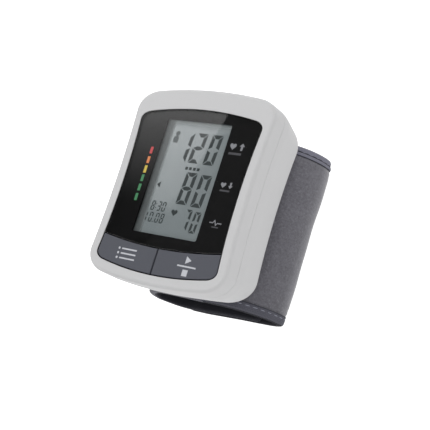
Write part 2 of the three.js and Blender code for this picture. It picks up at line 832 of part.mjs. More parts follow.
function mainBoard() {
  const middle = (boardLow + boardHigh) / 2;
  let board = post(0, middle, boardWidth, boardHigh - boardLow, boardBottom, boardTop);
  const through = [boardBottom - overrun, boardTop + overrun];
  for (const [sideways, lengthways] of corners) {
    const at = [sideways * caseScrewX, lengthways * caseScrewY];
    board = board.subtract(upright(caseBossRadius + gap, ...through, ...at));
    const outer = post(
      sideways * (caseScrewX + caseBossRadius),
      lengthways * (caseScrewY + caseBossRadius),
      2 * caseBossRadius,
      2 * caseBossRadius,
      ...through,
    );
    board = board.subtract(outer);
  }
  for (const at of boardScrews) {
    board = board.subtract(upright(boardShankRadius + gap, ...through, ...at));
  }
  return board;
}

function displayFrame() {
  const low = boardTop + faceGap;
  const outerWidth = glassWidth + 2 * frameWall;
  const outerLength = glassLength + 2 * frameWall;
  const ring = post(0, displayMiddle, outerWidth, outerLength, low, low + frameHeight);
  const hole = post(0, displayMiddle, glassWidth + 2 * gap, glassLength + 2 * gap, low - overrun, caseFace);
  return ring.subtract(hole);
}

// A screw whose head rests at zero and whose shank points up, with a cross recess below
function screw(headRadius, headHeight, shankRadius, length) {
  const body = turned([
    [0, -headHeight],
    [headRadius, -headHeight],
    [headRadius, 0],
    [shankRadius, 0],
    [shankRadius, length],
    [0, length],
  ], screwSteps);
  const depth = headHeight * recessDepthShare;
  const long = headRadius * recessLengthShare;
  const wide = headRadius * recessWidthShare;
  const slot = (width, length) =>
    block([-width / 2, width / 2], [-headHeight - overrun, -headHeight + depth], [-length / 2, length / 2]);
  return body.subtract(slot(long, wide)).subtract(slot(wide, long)).rotate([90, 0, 0]);
}

function addScrews(group) {
  const seat = caseBack + screwSeat;
  const caseScrew = screw(screwHeadRadius, screwHeadHeight, screwRadius, caseCeiling - 3 * gap - seat);
  corners.forEach(([sideways, lengthways], k) => {
    const place = [sideways * caseScrewX, lengthways * caseScrewY, seat - gap];
    add(group, `case_screw_${k + 1}`, caseScrew, materials.steel, place);
  });
  const boardReach = caseCeiling - gap - boardBottom;
  const boardScrew = screw(boardHeadRadius, boardHeadHeight, boardShankRadius, boardReach);
  boardScrews.forEach(([x, y], k) => {
    add(group, `board_screw_${k + 1}`, boardScrew, materials.steel, [x, y, boardBottom - faceGap]);
  });
}

function displayStack() {
  const group = new THREE.Group();
  const glass = post(0, displayMiddle, glassWidth, glassLength, glassBottom, glassTop);
  add(group, "display_lens", displayLens(), materials.lens);
  add(group, "lcd_panel", glass, materials.glass);
  add(group, "lcd_frame", displayFrame(), materials.whitePlastic);
  for (const [name, side] of [["upper", 1], ["lower", -1]]) {
    const place = displayMiddle + side * (glassLength / 2 - stripInset);
    const span = [boardTop + faceGap, glassBottom - faceGap];
    const strip = post(0, place, glassWidth - 2 * stripInset, stripWidth, ...span);
    add(group, `strip_connector_${name}`, strip, materials.rubber);
  }
  return group;
}

function buttons() {
  const group = new THREE.Group();
  for (const [name, side] of [["memory", -1], ["start", 1]]) {
    const place = [side * stemPlace, stemY, boardTop];
    const low = switchHeight - plungerSink + faceGap;
    const plunger = upright(plungerRadius, low, switchHeight + plungerSink);
    add(group, `${name}_button`, button(side), materials.button);
    add(group, `${name}_switch`, switchBody(), materials.darkPlastic, place);
    add(group, `${name}_plunger`, plunger, materials.whitePlastic, place);
  }
  return group;
}

function electronics() {
  const group = new THREE.Group();
  const under = boardBottom - faceGap;
  const chip = post(0, 0, chipSize, chipSize, -chipHeight, 0);
  const sensorBody = post(0, 0, sensorSize, sensorSize, -sensorHeight, 0);
  const manifoldTop = pumpHeight + manifoldSize / 2;
  const sensorNozzle = upright(nozzleRadius, manifoldTop - under - nippleReach, -sensorHeight / 2);
  const buzzer = upright(buzzerRadius, -buzzerHeight, 0).subtract(
    upright(nozzleRadius, -buzzerHeight - overrun, -buzzerHeight / 2),
  );
  add(group, "main_board", mainBoard(), materials.board);
  add(group, "processor_chip", chip, materials.darkPlastic, [chipX, chipY, under]);
  const sensor = sensorBody.add(sensorNozzle);
  add(group, "pressure_sensor", sensor, materials.whitePlastic, [manifoldX, manifoldY, under]);
  add(group, "buzzer", buzzer, materials.darkPlastic, [buzzerX, buzzerY, under]);
  addScrews(group);
  return group;
}

const bayRight = trayRight - trayWall;
const rightBatteryX = bayRight - gap - batteryRadius;
const leftBatteryX = rightBatteryX - 2 * batteryRadius - gap;
const bayHigh = trayHigh - trayWall;
const bayLow = trayLow + trayWall;

function batteries() {
  const group = new THREE.Group();
  const top = batteryHeight + batteryRadius + gap;
  const tray = block([trayLeft, trayRight], [trayLow, trayHigh], [caseFloor + gap, top + trayWall]);
  const bay = block([trayLeft - overrun, bayRight], [bayLow, bayHigh], [caseFloor, top]);
  const cell = turned([
    [0, 0],
    [batteryRadius, 0],
    [batteryRadius, batteryBody],
    [nubRadius, batteryBody],
    [nubRadius, cellLength],
    [0, cellLength],
  ]);
  const plate = (wide, thick) =>
    block([-wide / 2, wide / 2], [-thick, 0], [-contactWidth / 2, contactWidth / 2]);
  const spring = coil(coilRadius, coilWire, coilTurns, coilLength);
  const leftTop = bayHigh - plateReach - faceGap;
  const rightLow = bayLow + plateReach + faceGap;
  const flipped = cell.rotate([180, 0, 0]);
  const between = (leftBatteryX + rightBatteryX) / 2;
  const pitch = rightBatteryX - leftBatteryX;
  const at = (x, y) => [x, y, batteryHeight];
  const small = plate(contactWidth, contactThickness);
  const wide = plate(contactWidth + pitch, contactThickness);
  add(group, "battery_tray", tray.subtract(bay), materials.darkPlastic);
  add(group, "battery_1", cell, materials.batteryWrap, at(leftBatteryX, leftTop - cellLength));
  add(group, "battery_2", flipped, materials.batteryWrap, at(rightBatteryX, rightLow + cellLength));
  add(group, "contact_positive", small, materials.brass, at(leftBatteryX, bayHigh - faceGap));
  add(group, "contact_negative", small, materials.brass, at(rightBatteryX, bayHigh - faceGap));
  add(group, "contact_bridge", wide, materials.brass, at(between, bayLow + plateReach));
  add(group, "coil_negative", spring, materials.steel, at(rightBatteryX, rightLow + cellLength + faceGap));
  add(group, "coil_bridge", spring, materials.steel, at(leftBatteryX, bayLow + plateReach + faceGap));
  return group;
}

const pumpHigh = motorLow - gap;
const pumpLow = pumpHigh - pumpLength;
const diaphragmLow = pumpLow - gap - diaphragmThickness;
const capHigh = diaphragmLow - gap;
const capLow = capHigh - capLength;

function airPump() {
  const group = new THREE.Group();
  const hole = shaftRadius + gap;
  const motorInner = motorRadius - motorWall;
  const can = turned([
    [hole, 0],
    [motorRadius, 0],
    [motorRadius, motorLength],
    [0, motorLength],
    [0, motorLength - motorWall],
    [motorInner, motorLength - motorWall],
    [motorInner, motorWall],
    [hole, motorWall],
    [hole, 0],
  ]);
  const shaftEnd = crankThickness + 2 * gap;
  const armatureHigh = motorLength - motorWall - armatureMargin;
  const rotor = turned([
    [0, -shaftEnd],
    [shaftRadius, -shaftEnd],
    [shaftRadius, motorWall + armatureMargin],
    [armatureRadius, motorWall + armatureMargin],
    [armatureRadius, armatureHigh],
    [shaftRadius, armatureHigh],
    [shaftRadius, motorLength - motorWall - gap],
    [0, motorLength - motorWall - gap],
  ]);
  const crankHigh = -2 * gap;
  const crankLow = crankHigh - crankThickness;
  const pin = lying(crankPinRadius, crankLow - crankPinLength, crankLow + faceGap, crankPinOffset);
  const crank = lying(crankRadius, crankLow, crankHigh)
    .subtract(lying(hole, crankLow - overrun, crankHigh + overrun))
    .add(pin);
  const housing = turned([
    [crankRadius, 0],
    [pumpRadius, 0],
    [pumpRadius, pumpLength],
    [pumpRadius - pumpWall, pumpLength],
    [pumpRadius - pumpWall, pumpFloor],
    [crankRadius, pumpFloor],
    [crankRadius, 0],
  ]);
  const diaphragm = turned([
    [0, 0],
    [pumpRadius, 0],
    [pumpRadius, diaphragmThickness],
    [diaphragmStubRadius, diaphragmThickness],
    [diaphragmStubRadius, diaphragmThickness + diaphragmStub],
    [0, diaphragmThickness + diaphragmStub],
  ]);
  const cap = turned([
    [nozzleBore, -nozzleLength],
    [nozzleRadius, -nozzleLength],
    [nozzleRadius, 0],
    [pumpRadius, 0],
    [pumpRadius, capLength],
    [nozzleBore, capLength],
    [nozzleBore, -nozzleLength],
  ]);
  const at = (y) => [pumpX, y, pumpHeight];
  add(group, "motor_can", can, materials.steel, at(motorLow));
  add(group, "motor_rotor", rotor, materials.brass, at(motorLow));
  add(group, "pump_crank", crank, materials.whitePlastic, at(motorLow));
  add(group, "pump_housing", housing, materials.darkPlastic, at(pumpLow));
  add(group, "pump_diaphragm", diaphragm, materials.rubber, at(diaphragmLow));
  add(group, "pump_cap", cap, materials.darkPlastic, at(capLow));
  return group;
}

const manifoldHalf = manifoldSize / 2;
const manifoldLow = manifoldY - manifoldHalf;
const manifoldHigh = manifoldY + manifoldHalf;
const valveLow = manifoldHigh + 2 * nozzleLength + gap;

// A tube over the pump's nozzle that turns back to the manifold
function pumpTubePath() {
  const start = capLow - gap;
  const turnAt = Math.min(capLow, manifoldLow) - nozzleLength - tubeRunOut;
  const radius = (pumpX - manifoldX) / 2;
  const path = new THREE.CurvePath();
  const at = (x, y) => new THREE.Vector3(x, y, 0);
  const points = [];
  for (let k = 0; k <= tubeSteps; k++) {
    const angle = (k / tubeSteps) * Math.PI;
    points.push(at(manifoldX + radius + radius * Math.cos(angle), turnAt - radius * Math.sin(angle)));
  }
  path.add(new THREE.LineCurve3(at(pumpX, start), points[0]));
  path.add(new THREE.CatmullRomCurve3(points));
  path.add(new THREE.LineCurve3(points.at(-1), at(manifoldX, manifoldLow - gap)));
  return path;
}

function airPassages() {
  const group = new THREE.Group();
  const half = manifoldHalf;
  const body = block([-half, half], [-half, half], [-half, half])
    .add(lying(nozzleRadius, -half - nozzleLength, half + nozzleLength))
    .subtract(upright(socketRadius, -half - overrun, half + overrun))
    .subtract(lying(nozzleBore, -half - nozzleLength - overrun, half + nozzleLength + overrun));
  const straight = new THREE.LineCurve3(
    new THREE.Vector3(0, manifoldHigh + gap, 0),
    new THREE.Vector3(0, valveLow - gap, 0),
  );
  const flangeHigh = loopHeight - outerClothAt - outerCloth - layerGap;
  const nippleHigh = pumpHeight - half + nippleReach - flangeHigh;
  const nipple = turned([
    [nozzleBore, -nippleFlangeHeight],
    [nippleFlange, -nippleFlangeHeight],
    [nippleFlange, 0],
    [nozzleRadius, 0],
    [nozzleRadius, nippleHigh],
    [nozzleBore, nippleHigh],
    [nozzleBore, -nippleFlangeHeight],
  ]).rotate([90, 0, 0]);
  const bentTube = tubeAlong(pumpTubePath(), tubeRadius, tubeBore, tubeSteps, tubeSides);
  const straightTube = tubeAlong(straight, tubeRadius, tubeBore, 1, tubeSides);
  add(group, "air_manifold", body, materials.whitePlastic, [manifoldX, manifoldY, pumpHeight]);
  add(group, "air_tube_pump", bentTube, materials.tube, [0, 0, pumpHeight]);
  add(group, "air_tube_valve", straightTube, materials.tube, [manifoldX, 0, pumpHeight]);
  add(group, "air_nipple", nipple, materials.whitePlastic, [manifoldX, manifoldY, flangeHigh]);
  return group;
}

function releaseValve() {
  const group = new THREE.Group();
  const half = valveSize / 2;
  const core = valveLength - valvePlungerDepth;
  const body = block([-half, half], [0, valveLength], [-half, half])
    .add(lying(nozzleRadius, gap - nozzleLength, overrun))
    .subtract(lying(valvePlungerRadius + gap, core - valveStroke - gap, valveLength + overrun))
    .subtract(lying(nozzleBore, -nozzleLength, core));
  const headLow = valveLength + valveSpringLength + 2 * faceGap;
  const plunger = turned([
    [0, core],
    [valvePlungerRadius, core],
    [valvePlungerRadius, headLow],
    [valveHeadRadius, headLow],
    [valveHeadRadius, headLow + valveHeadHeight],
    [0, headLow + valveHeadHeight],
  ]);
  const spring = coil(valveCoilRadius, valveCoilWire, valveCoilTurns, valveSpringLength);
  const at = (y) => [manifoldX, y, pumpHeight];
  add(group, "valve_coil", body, materials.brass, at(valveLow));
  add(group, "valve_plunger", plunger, materials.steel, at(valveLow));
  add(group, "valve_spring", spring, materials.steel, at(valveLow + valveLength + faceGap));
  return group;
}

// The plate's outline grown by a clearance, between two heights
function platePrism(clearance, low, high) {
  const half = plateWidth / 2 + clearance;
  const corner = plateCorner;
  const front = plateLow - clearance;
  const back = plateHigh + clearance;
  const shape = new THREE.Shape();
  shape.absarc(half - corner, front + corner, corner, -Math.PI / 2, 0);
  shape.absarc(half - corner, back - corner, corner, 0, Math.PI / 2);
  shape.absarc(corner - half, back - corner, corner, Math.PI / 2, Math.PI);
  shape.absarc(corner - half, front + corner, corner, Math.PI, 1.5 * Math.PI);
  return prism(shape.getPoints(edgeSteps / 2), low, high);
}

function cuffPlate() {
  const low = loopHeight - outerClothAt + layerGap;
  const high = caseBack + plateRecess - gap;
  let plate = platePrism(0, low, high);
  for (const [sideways, lengthways] of corners) {
    const x = sideways * hookX;
    const y = lengthways > 0 ? hookHigh : hookLow;
    const top = caseFloor + gap + hookBarbHeight;
    const barbShift = (lengthways * hookBarb) / 2;
    plate = plate
      .add(post(x, y, hookWidth, hookThickness, high - gap, top))
      .add(post(x, y + barbShift, hookWidth, hookThickness + hookBarb, top - hookBarbHeight, top));
  }
  return plate.subtract(upright(nozzleRadius + gap, low - overrun, high + overrun, manifoldX, manifoldY));
}

function monitorCase() {
  const group = new THREE.Group();
  add(group, "front_cover", frontCover(), materials.shell);
  add(group, "rear_cover", rearCover(), materials.shell);
  add(group, "battery_door", batteryDoor(), materials.shell);
  add(group, "cuff_plate", cuffPlate(), materials.darkPlastic);
  return group;
}

const monitor = new THREE.Group();
monitor.add(
  monitorCase(),
  displayStack(),
  buttons(),
  electronics(),
  batteries(),
  airPump(),
  airPassages(),
  releaseValve(),
  fixedCuff(),
  cuffFlap(),
);

export default monitor;
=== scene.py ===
"""A wrist blood pressure monitor: its case, display, keys and soft cuff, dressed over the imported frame.

Lengths are millimetres until a mesh is made. +Z is up out of the display, +Y along the wrist.
"""
import json
import math

import bpy
import numpy as np
from mathutils import Matrix


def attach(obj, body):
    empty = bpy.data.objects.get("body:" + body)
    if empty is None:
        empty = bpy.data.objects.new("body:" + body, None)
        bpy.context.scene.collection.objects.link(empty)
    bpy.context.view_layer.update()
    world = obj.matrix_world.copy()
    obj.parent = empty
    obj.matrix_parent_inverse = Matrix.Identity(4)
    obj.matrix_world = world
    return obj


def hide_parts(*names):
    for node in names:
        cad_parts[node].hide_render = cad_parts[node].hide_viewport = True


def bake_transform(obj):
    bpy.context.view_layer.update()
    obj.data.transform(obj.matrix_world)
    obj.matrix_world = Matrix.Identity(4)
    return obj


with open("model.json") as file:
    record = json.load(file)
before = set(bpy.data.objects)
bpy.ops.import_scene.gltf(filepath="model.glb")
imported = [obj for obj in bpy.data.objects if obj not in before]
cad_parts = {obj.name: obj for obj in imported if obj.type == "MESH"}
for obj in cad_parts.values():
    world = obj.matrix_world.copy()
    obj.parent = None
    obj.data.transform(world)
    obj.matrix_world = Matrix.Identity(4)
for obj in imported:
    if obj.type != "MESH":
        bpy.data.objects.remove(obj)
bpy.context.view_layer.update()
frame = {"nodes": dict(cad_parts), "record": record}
scene = bpy.context.scene
MM = 0.001
MAP_UNIT = 0.01  # one unit of a surface map is 100 mm
OUTLINE_STEPS = (5, 30, 5, 14, 34)  # points of a side before, between and after its breaks, corner, end
ARC_SHARE = 0.5523  # length of a cubic's handles, over the radius, where it stands for a quarter circle
SUPPORT = 0.06  # width of the flat strip that holds the shading beside a rounded edge

# Case: the half sizes of its outline, and its section
CASE_WAIST, CASE_SIDE, CASE_APEX, CASE_SHOULDER, CASE_CORNER = 33.4, 34.45, 40.75, 39.1, 9.0
CORNER_SWELL, END_FLATTEN, NEAR_DRAW = 1.2, 0.5, 0.4
CASE_FACE, CASE_BACK, CASE_FLOOR, CASE_CEILING, SEAM = 56.3, 28.8, 31.4, 53.1, 49.5
CASE_DEPTH, WIDEST_DEPTH, FACE_BULGE, SIDE_TAPER, END_TAPER = 27.5, 10.7, 0.3, 3.3, 2.7
CASE_WALL, FACE_ROUND, FACE_DROP, BACK_ROUND, BACK_RISE = 2.0, 1.3, 1.5, 3.0, 6.0
RECESS_ROUND, PAINTED_SHADE_RINGS, SEAM_GAP, SEAM_LIP = 0.22, 5, 0.03, 1.2
DOOR_Y, DOOR_Z, DOOR_CLEAR, DOOR_ROUND = (-24.5, 21.5), (33.2, 42.8), 0.14, 0.35
DISH_LONG, DISH_HIGH, DISH_DEPTH, RIDGE_HEIGHT, RIDGE_PITCH = 8.0, 3.3, 0.5, 0.32, 1.6  # half sizes first
CASE_SCREWS = [(x, y) for y in (-30.3, 30.3) for x in (-22.5, 22.5)]
BOARD_SCREWS = [(x, y) for y in (-16, 22) for x in (-24.3, 24.3)]

# Display panel
PANEL = {"waist": 28.75, "side": 30.1, "apex": 34.15, "shoulder": 31.75, "corner": 4.0}
PANEL_MIDDLE, PANEL_FLOOR, PANEL_TOP, LENS_BOTTOM = -2.25, 54.6, 56.2, 54.8
BOUNDARY_MIDDLE, BOUNDARY_RISE, BOUNDARY_RIM = -25.6, 2.6, 31.0
STEM_X, STEM_Y, STEM_BOTTOM, STEM_RADIUS = 15.0, -30.8, 53.0, 2.5
KEY_SPLIT, KEY_SLIT = -0.3, 0.3  # middle and half width of the slit between the keys
LENS_INSET, KEY_INSET, BOUNDARY_GAP = 0.14, 0.45, 0.2
WINDOW_X, WINDOW_Y = (-16.6, 15.4), (-20.35, 27.2)
GLASS_BOTTOM, GLASS_TOP, GLASS_MIDDLE, GLASS_HALF = 51.7, 54.0, 2.8, (18, 25)
SEGMENT_LEVEL = (GLASS_TOP + 0.004, GLASS_TOP + 0.024)
INK_LEVEL = (LENS_BOTTOM - 0.015, LENS_BOTTOM - 0.003)
KEY_LEVEL = (PANEL_TOP - 0.02, PANEL_TOP + 0.015)

# Closed cuff, seen along the wrist. A turn is a place round the loop, see loop_point.
LOOP_WIDTH, LOOP_HEIGHT, LOOP_TOP_FLAT, LOOP_BOTTOM_FLAT, LOOP_MIDDLE = 66.4, 28.5, 30.0, 26.0, 9.6
CUFF_LOW, CUFF_HIGH = -37.9, 32.5
HEM, CUFF_THICK, FLAP_THICK, LAP_DEPTH, HOOK_PAD = 3.8, 3.7, 2.6, 3.5, 24
STRIPS_MEET, TIP_TURN, LAPPED_TURN = 0.3, 2.78, 2.5
TABLE = {"velour": 0.08, "hem": 0.06, "piping": 0.04, "groove": 0.02, "thread": 0.0}  # lowest heights


# ---------------------------------------------------------------- shapes as arrays


def smoothstep(value, low, high):
    """0 below low, 1 above high, and 3t^2 - 2t^3 between."""
    t = np.clip((np.asarray(value, float) - low) / (high - low), 0, 1)
    return t * t * (3 - 2 * t)


def volume(points, faces):
    """Signed volume of a closed skin: the sum over its fan triangles of a . (b x c) / 6."""
    total = 0.0
    for count in sorted({len(f) for f in faces}):
        group = np.array([f for f in faces if len(f) == count])
        a = points[group[:, 0]]
        for k in range(1, count - 1):
            total += np.einsum("ij,ij->", a, np.cross(points[group[:, k]], points[group[:, k + 1]])) / 6
    return total


def outward(shape):
    """The shape with its faces turned to point outwards, by the sign of its volume."""
    points, faces, marks = shape
    if volume(points, faces) < 0:
        faces = [list(reversed(f)) for f in faces]
    return points, faces, marks


def joined(*shapes):
    """Several closed shapes as one, their points numbered on."""
    points, faces, marks, start = [], [], [], 0
    for shape in shapes:
        points.append(shape[0])
        faces += [[i + start for i in f] for f in shape[1]]
        marks.append(shape[2])
        start += len(shape[0])
    return np.concatenate(points), faces, np.concatenate(marks)


def grid_faces(rows, columns, closed=False):
    """Quads between neighbours of a grid that is listed row by row. Each row closes on itself, and in a
    closed grid the last row meets the first."""
    r = np.arange(rows if closed else rows - 1)[:, None]
    c = np.arange(columns)[None, :]
    below, beside = (r + 1) % rows, (c + 1) % columns
    corners = ((r, c), (r, beside), (below, beside), (below, c))
    return np.stack([row * columns + column for row, column in corners], -1).reshape(-1, 4)


def skin(rings, marks=None, closed=False):
    """A skin through rings of equal counts, with an n-gon over each end unless it closes on itself."""
    rings = np.asarray(rings, float)
    rows, columns = rings.shape[:2]
    faces = grid_faces(rows, columns, closed).tolist()
    if not closed:
        faces.append(list(range(columns))[::-1])
        faces.append([(rows - 1) * columns + k for k in range(columns)])
    marks = np.zeros((rows, columns, 2)) if marks is None else np.asarray(marks, float)
    return outward((rings.reshape(-1, 3), faces, marks.reshape(-1, 2)))


def sheet(top, bottom, marks):
    """A closed sheet between two grids of points with the same rows and columns."""
    rows, count = top.shape[:2]
    loops = np.concatenate([top, bottom[:, ::-1]], 1)
    faces = grid_faces(rows, 2 * count).tolist()
    for base, way in ((0, -1), ((rows - 1) * 2 * count, 1)):
        far = base + 2 * count - 1
        faces += [[base + k, base + k + 1, far - 1 - k, far - k][::way] for k in range(count - 1)]
    marks = np.concatenate([marks, marks[:, ::-1]], 1)
    return outward((loops.reshape(-1, 3), faces, marks.reshape(-1, 2)))


def lifted(outline, z):
    """A flat outline as a ring at height z."""
    return np.column_stack([outline, np.full(len(outline), float(z))])


def quarter(steps):
    """(1 - sin a, 1 - cos a) from 0 to a right angle: how far a rounded edge stands in, and out."""
    angle = np.linspace(0, math.pi / 2, steps)
    return np.column_stack([1 - np.sin(angle), 1 - np.cos(angle)])


def circle(count):
    """Cosines and sines of evenly spaced angles round a circle."""
    angle = np.linspace(0, 2 * math.pi, count, endpoint=False)
    return np.cos(angle), np.sin(angle)


def bezier(controls, at):
    """Points of a Bezier curve, the Bernstein sum of its control points, at the parameters given."""
    t, n = np.asarray(at, float)[:, None], len(controls) - 1
    terms = [math.comb(n, k) * (1 - t) ** (n - k) * t**k * np.array(p, float) for k, p in enumerate(controls)]
    return sum(terms)


def outline(size, inset=0.0, middle=0.0, side_breaks=(-21.5, 24.5), steps=OUTLINE_STEPS):
    """Rounded outline with waisted sides and arched ends, anticlockwise from the lower right.

    Each side and end is a quadratic Bezier pulled in or out at its middle, and each corner a cubic that
    leaves and arrives along them. The side's points keep even spacing between the two breaks."""
    side, shoulder = size["side"] - inset, size["shoulder"] - inset
    corner = max(size["corner"] - inset, 1.0)
    half = shoulder - corner
    side_end, top_end = np.array([side, half]), np.array([side - corner, shoulder])
    side_pull = np.array([2 * (size["waist"] - inset) - side, 0.0])
    top_pull = np.array([0.0, 2 * (size["apex"] - inset) - shoulder])
    leave, arrive = [
        end + (end - pull) / np.linalg.norm(end - pull) * corner * ARC_SHARE
        for end, pull in ((side_end, side_pull), (top_end, top_pull))]
    low, high = [min(max(b, 0.5 - half), half - 0.5) for b in side_breaks]
    first, second, third, turn, end = steps
    y = np.concatenate([
        np.linspace(-half, low, first, endpoint=False),
        np.linspace(low, high, second, endpoint=False),
        np.linspace(high, half, third, endpoint=False),
    ])
    flip_x, flip_y = np.array([-1, 1]), np.array([1, -1])
    around, over = np.arange(turn) / turn, np.arange(end) / end
    part = np.concatenate([
        bezier([side_end * flip_y, side_pull, side_end], (1 + y / half) / 2),
        bezier([side_end, leave, arrive, top_end], around),
        bezier([top_end, top_pull, top_end * flip_x], over),
        bezier([top_end * flip_x, arrive * flip_x, leave * flip_x, side_end * flip_x], around),
    ])
    return np.concatenate([part, -part]) + [0.0, middle]


def case_levels(z):
    """Share of the height above the case's widest place, and share of the depth below it."""
    depth = CASE_FACE - z
    return (np.maximum(0, 1 - depth / WIDEST_DEPTH),
            np.maximum(0, (depth - WIDEST_DEPTH) / (CASE_DEPTH - WIDEST_DEPTH)))


def case_size(z):
    """Outline sizes of the case at a height: it draws in with the square of the height above its
    widest place, where its corners are rounder than at the face, and below that it tapers evenly to
    the back, with flatter ends."""
    above, below = case_levels(z)
    across, along = [FACE_BULGE * above**2 + taper * below for taper in (SIDE_TAPER, END_TAPER)]
    return {
        "waist": CASE_WAIST - across, "side": CASE_SIDE - across, "shoulder": CASE_SHOULDER - along,
        "apex": CASE_APEX - along - END_FLATTEN * below, "corner": CASE_CORNER + CORNER_SWELL * (1 - above),
    }


def case_ring(z, inset=0.0):
    """The case's outline at height z, drawn in by inset.

    The near end's middle stands a little further in, but for its edge at the face."""
    ring = outline(case_size(z), inset)
    middle = np.clip(1 - (ring[:, 0] / CASE_SIDE) ** 2, 0, 1) ** 2 * smoothstep(-ring[:, 1], 25.0, 38.0)
    ring[:, 1] += NEAR_DRAW * (1 - case_levels(z)[0] ** 2) * middle
    return lifted(ring, z)


def rounded_rings(flat, rise, draw, inset, steps):
    """Rings of an elliptic edge that ends flat: inset + draw (1 - sin a), flat + rise (1 - cos a)."""
    return [case_ring(flat + rise * out, inset + draw * back) for back, out in quarter(steps + 1)]


def mitred(points, distance):
    """A closed anticlockwise outline drawn in by a distance, each corner moved along its bisector."""
    edge = np.roll(points, -1, 0) - points
    normal = np.column_stack([-edge[:, 1], edge[:, 0]]) / np.linalg.norm(edge, axis=1)[:, None]
    before = np.roll(normal, 1, 0)
    share = 1 + np.einsum("ij,ij->i", before, normal)
    return points + (before + normal) / np.maximum(share, 0.3)[:, None] * distance


def plate(points, low, high, round_top=0.0, round_bottom=0.0, steps=5):
    """A flat plate with an outline, its top and bottom edges rounded by quarter circles."""
    ends = []
    for z, way, edge in ((low, 1, round_bottom), (high, -1, round_top)):
        rings = [lifted(points, z)]
        if edge:
            places = [(edge + SUPPORT, z)]
            places += [(edge * back, z + way * edge * out) for back, out in quarter(steps)]
            rings = [lifted(mitred(points, inset), height) for inset, height in places]
        ends.append(rings)
    rings = ends[0] + ends[1][::-1]
    return skin(rings, np.array([r[:, :2] for r in rings]))


def turned(profile, middle):
    """A profile of (radius, height) pairs turned round an upright axis; it starts and ends on the axis."""
    radius, height = np.array(profile, float).T[..., None]
    x, y = circle(32)
    return skin(np.stack([radius * x + middle[0], radius * y + middle[1], height + 0 * x], -1))


def walled(outer, inner, low, high):
    """A wall between two flat outlines, from one height to another."""
    corners = ((outer, low), (outer, high), (inner, high), (inner, low))
    return skin([lifted(flat, z) for flat, z in corners], closed=True)


def peg(middle, radius, low, high):
    """An upright cylinder."""
    return turned([(0.01, low), (radius, low), (radius, high), (0.01, high)], middle)


def new_object(name, data):
    made = bpy.data.objects.new(name, data)
    scene.collection.objects.link(made)
    return made


def piece(name, shape, material, body=None, stands_for=(), angle=35.0, flat=False):
    """A mesh object at the origin from a shape in millimetres, with its surface map, on its body."""
    points, faces, marks = shape
    mesh = bpy.data.meshes.new(name)
    mesh.from_pydata((points * MM).tolist(), [], faces)
    mesh.validate()
    layer = mesh.uv_layers.new(name="surface")
    corner = np.zeros(len(mesh.loops), np.int32)
    mesh.loops.foreach_get("vertex_index", corner)
    layer.data.foreach_set("uv", (marks[corner] * MAP_UNIT).astype(np.float32).ravel())
    if not flat:
        mesh.shade_smooth()
        mesh.set_sharp_from_angle(angle=math.radians(angle))
    mesh.materials.append(material)
    made = new_object(name, mesh)
    if body:
        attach(made, body)
    if stands_for:
        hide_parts(*stands_for)
    return made


def paint(made, material, faces):
    """Gives the faces in a mask a second material."""
    made.data.materials.append(material)
    made.data.polygons.foreach_set("material_index", faces.astype(np.int32))


def cut(target, *shapes):
    """Subtracts closed shapes from a piece with an exact boolean, and applies it."""
    mesh = bpy.data.meshes.new("cutter")
    points, faces, _ = joined(*shapes)
    mesh.from_pydata((points * MM).tolist(), [], faces)
    tool = new_object("cutter", mesh)
    step = target.modifiers.new("cut", "BOOLEAN")
    step.operation, step.solver, step.object = "DIFFERENCE", "EXACT", tool
    graph = bpy.context.evaluated_depsgraph_get()
    made = bpy.data.meshes.new_from_object(target.evaluated_get(graph), depsgraph=graph)
    target.modifiers.clear()
    old, target.data = target.data, made
    bpy.data.meshes.remove(old)
    bpy.data.objects.remove(tool)
    bpy.data.meshes.remove(mesh)
    made.set_sharp_from_angle(angle=math.radians(35))


# ---------------------------------------------------------------- materials


class Value:
    """A node's output. Sums, differences and products with it add maths nodes to its tree."""

    def __init__(self, node, output=0):
        self.socket, self.tree = node.outputs[output], node.id_data

    def maths(self, operation, *others, clamp=False):
        operands = dict(enumerate((self, *others)))
        return Value(add_node(self.tree, "Math", operands, operation=operation, use_clamp=clamp))

    def __add__(self, other):
        return self.maths("ADD", other)

    def __sub__(self, other):
        return self.maths("SUBTRACT", other)

    def __rsub__(self, other):
        return self.maths("MULTIPLY_ADD", -1.0, other)

    def __mul__(self, other):
        return self.maths("MULTIPLY", other)

    __radd__ = __add__

    def span(self, low, high, to_low=0.0, to_high=1.0):
        """The range from low to high mapped evenly to another, and held at its ends."""
        ends = {"From Min": low, "From Max": high, "To Min": to_low, "To Max": to_high}
        return Value(add_node(self.tree, "MapRange", {"Value": self, **ends}), "Result")

    def parts(self):
        """The three parts of a vector."""
        node = add_node(self.tree, "SeparateXYZ", {0: self})
        return [Value(node, k) for k in range(3)]


def fill(node, inputs):
    """Sets a node's inputs, by number or name, each to a constant or linked to a Value."""
    for key, value in inputs.items():
        if isinstance(value, Value):
            value.tree.links.new(value.socket, node.inputs[key])
        else:
            node.inputs[key].default_value = value


def add_node(tree, kind, inputs=None, **settings):
    made = tree.nodes.new("ShaderNode" + kind)
    for key, value in settings.items():
        setattr(made, key, value)
    fill(made, inputs or {})
    return made


def noise(place, scale, kind="TexNoise", **inputs):
    return Value(add_node(place.tree, kind, {"Vector": place, "Scale": scale, **inputs}))


def mapped(place, **inputs):
    return Value(add_node(place.tree, "Mapping", {"Vector": place, **inputs}))


def mixed(share, a, b, blend="MIX"):
    """Two colours mixed by a share. The node has sockets of each kind: 0, 6, 7 and 2 are those in use."""
    tree = next(v.tree for v in (share, a, b) if isinstance(v, Value))
    return Value(add_node(tree, "Mix", {0: share, 6: a, 7: b}, data_type="RGBA", blend_type=blend), 2)


def tinted(colour, shade):
    """A colour times a shade."""
    grey = Value(add_node(shade.tree, "CombineColor", dict.fromkeys(range(3), shade)))
    return mixed(1.0, colour, grey, "MULTIPLY")


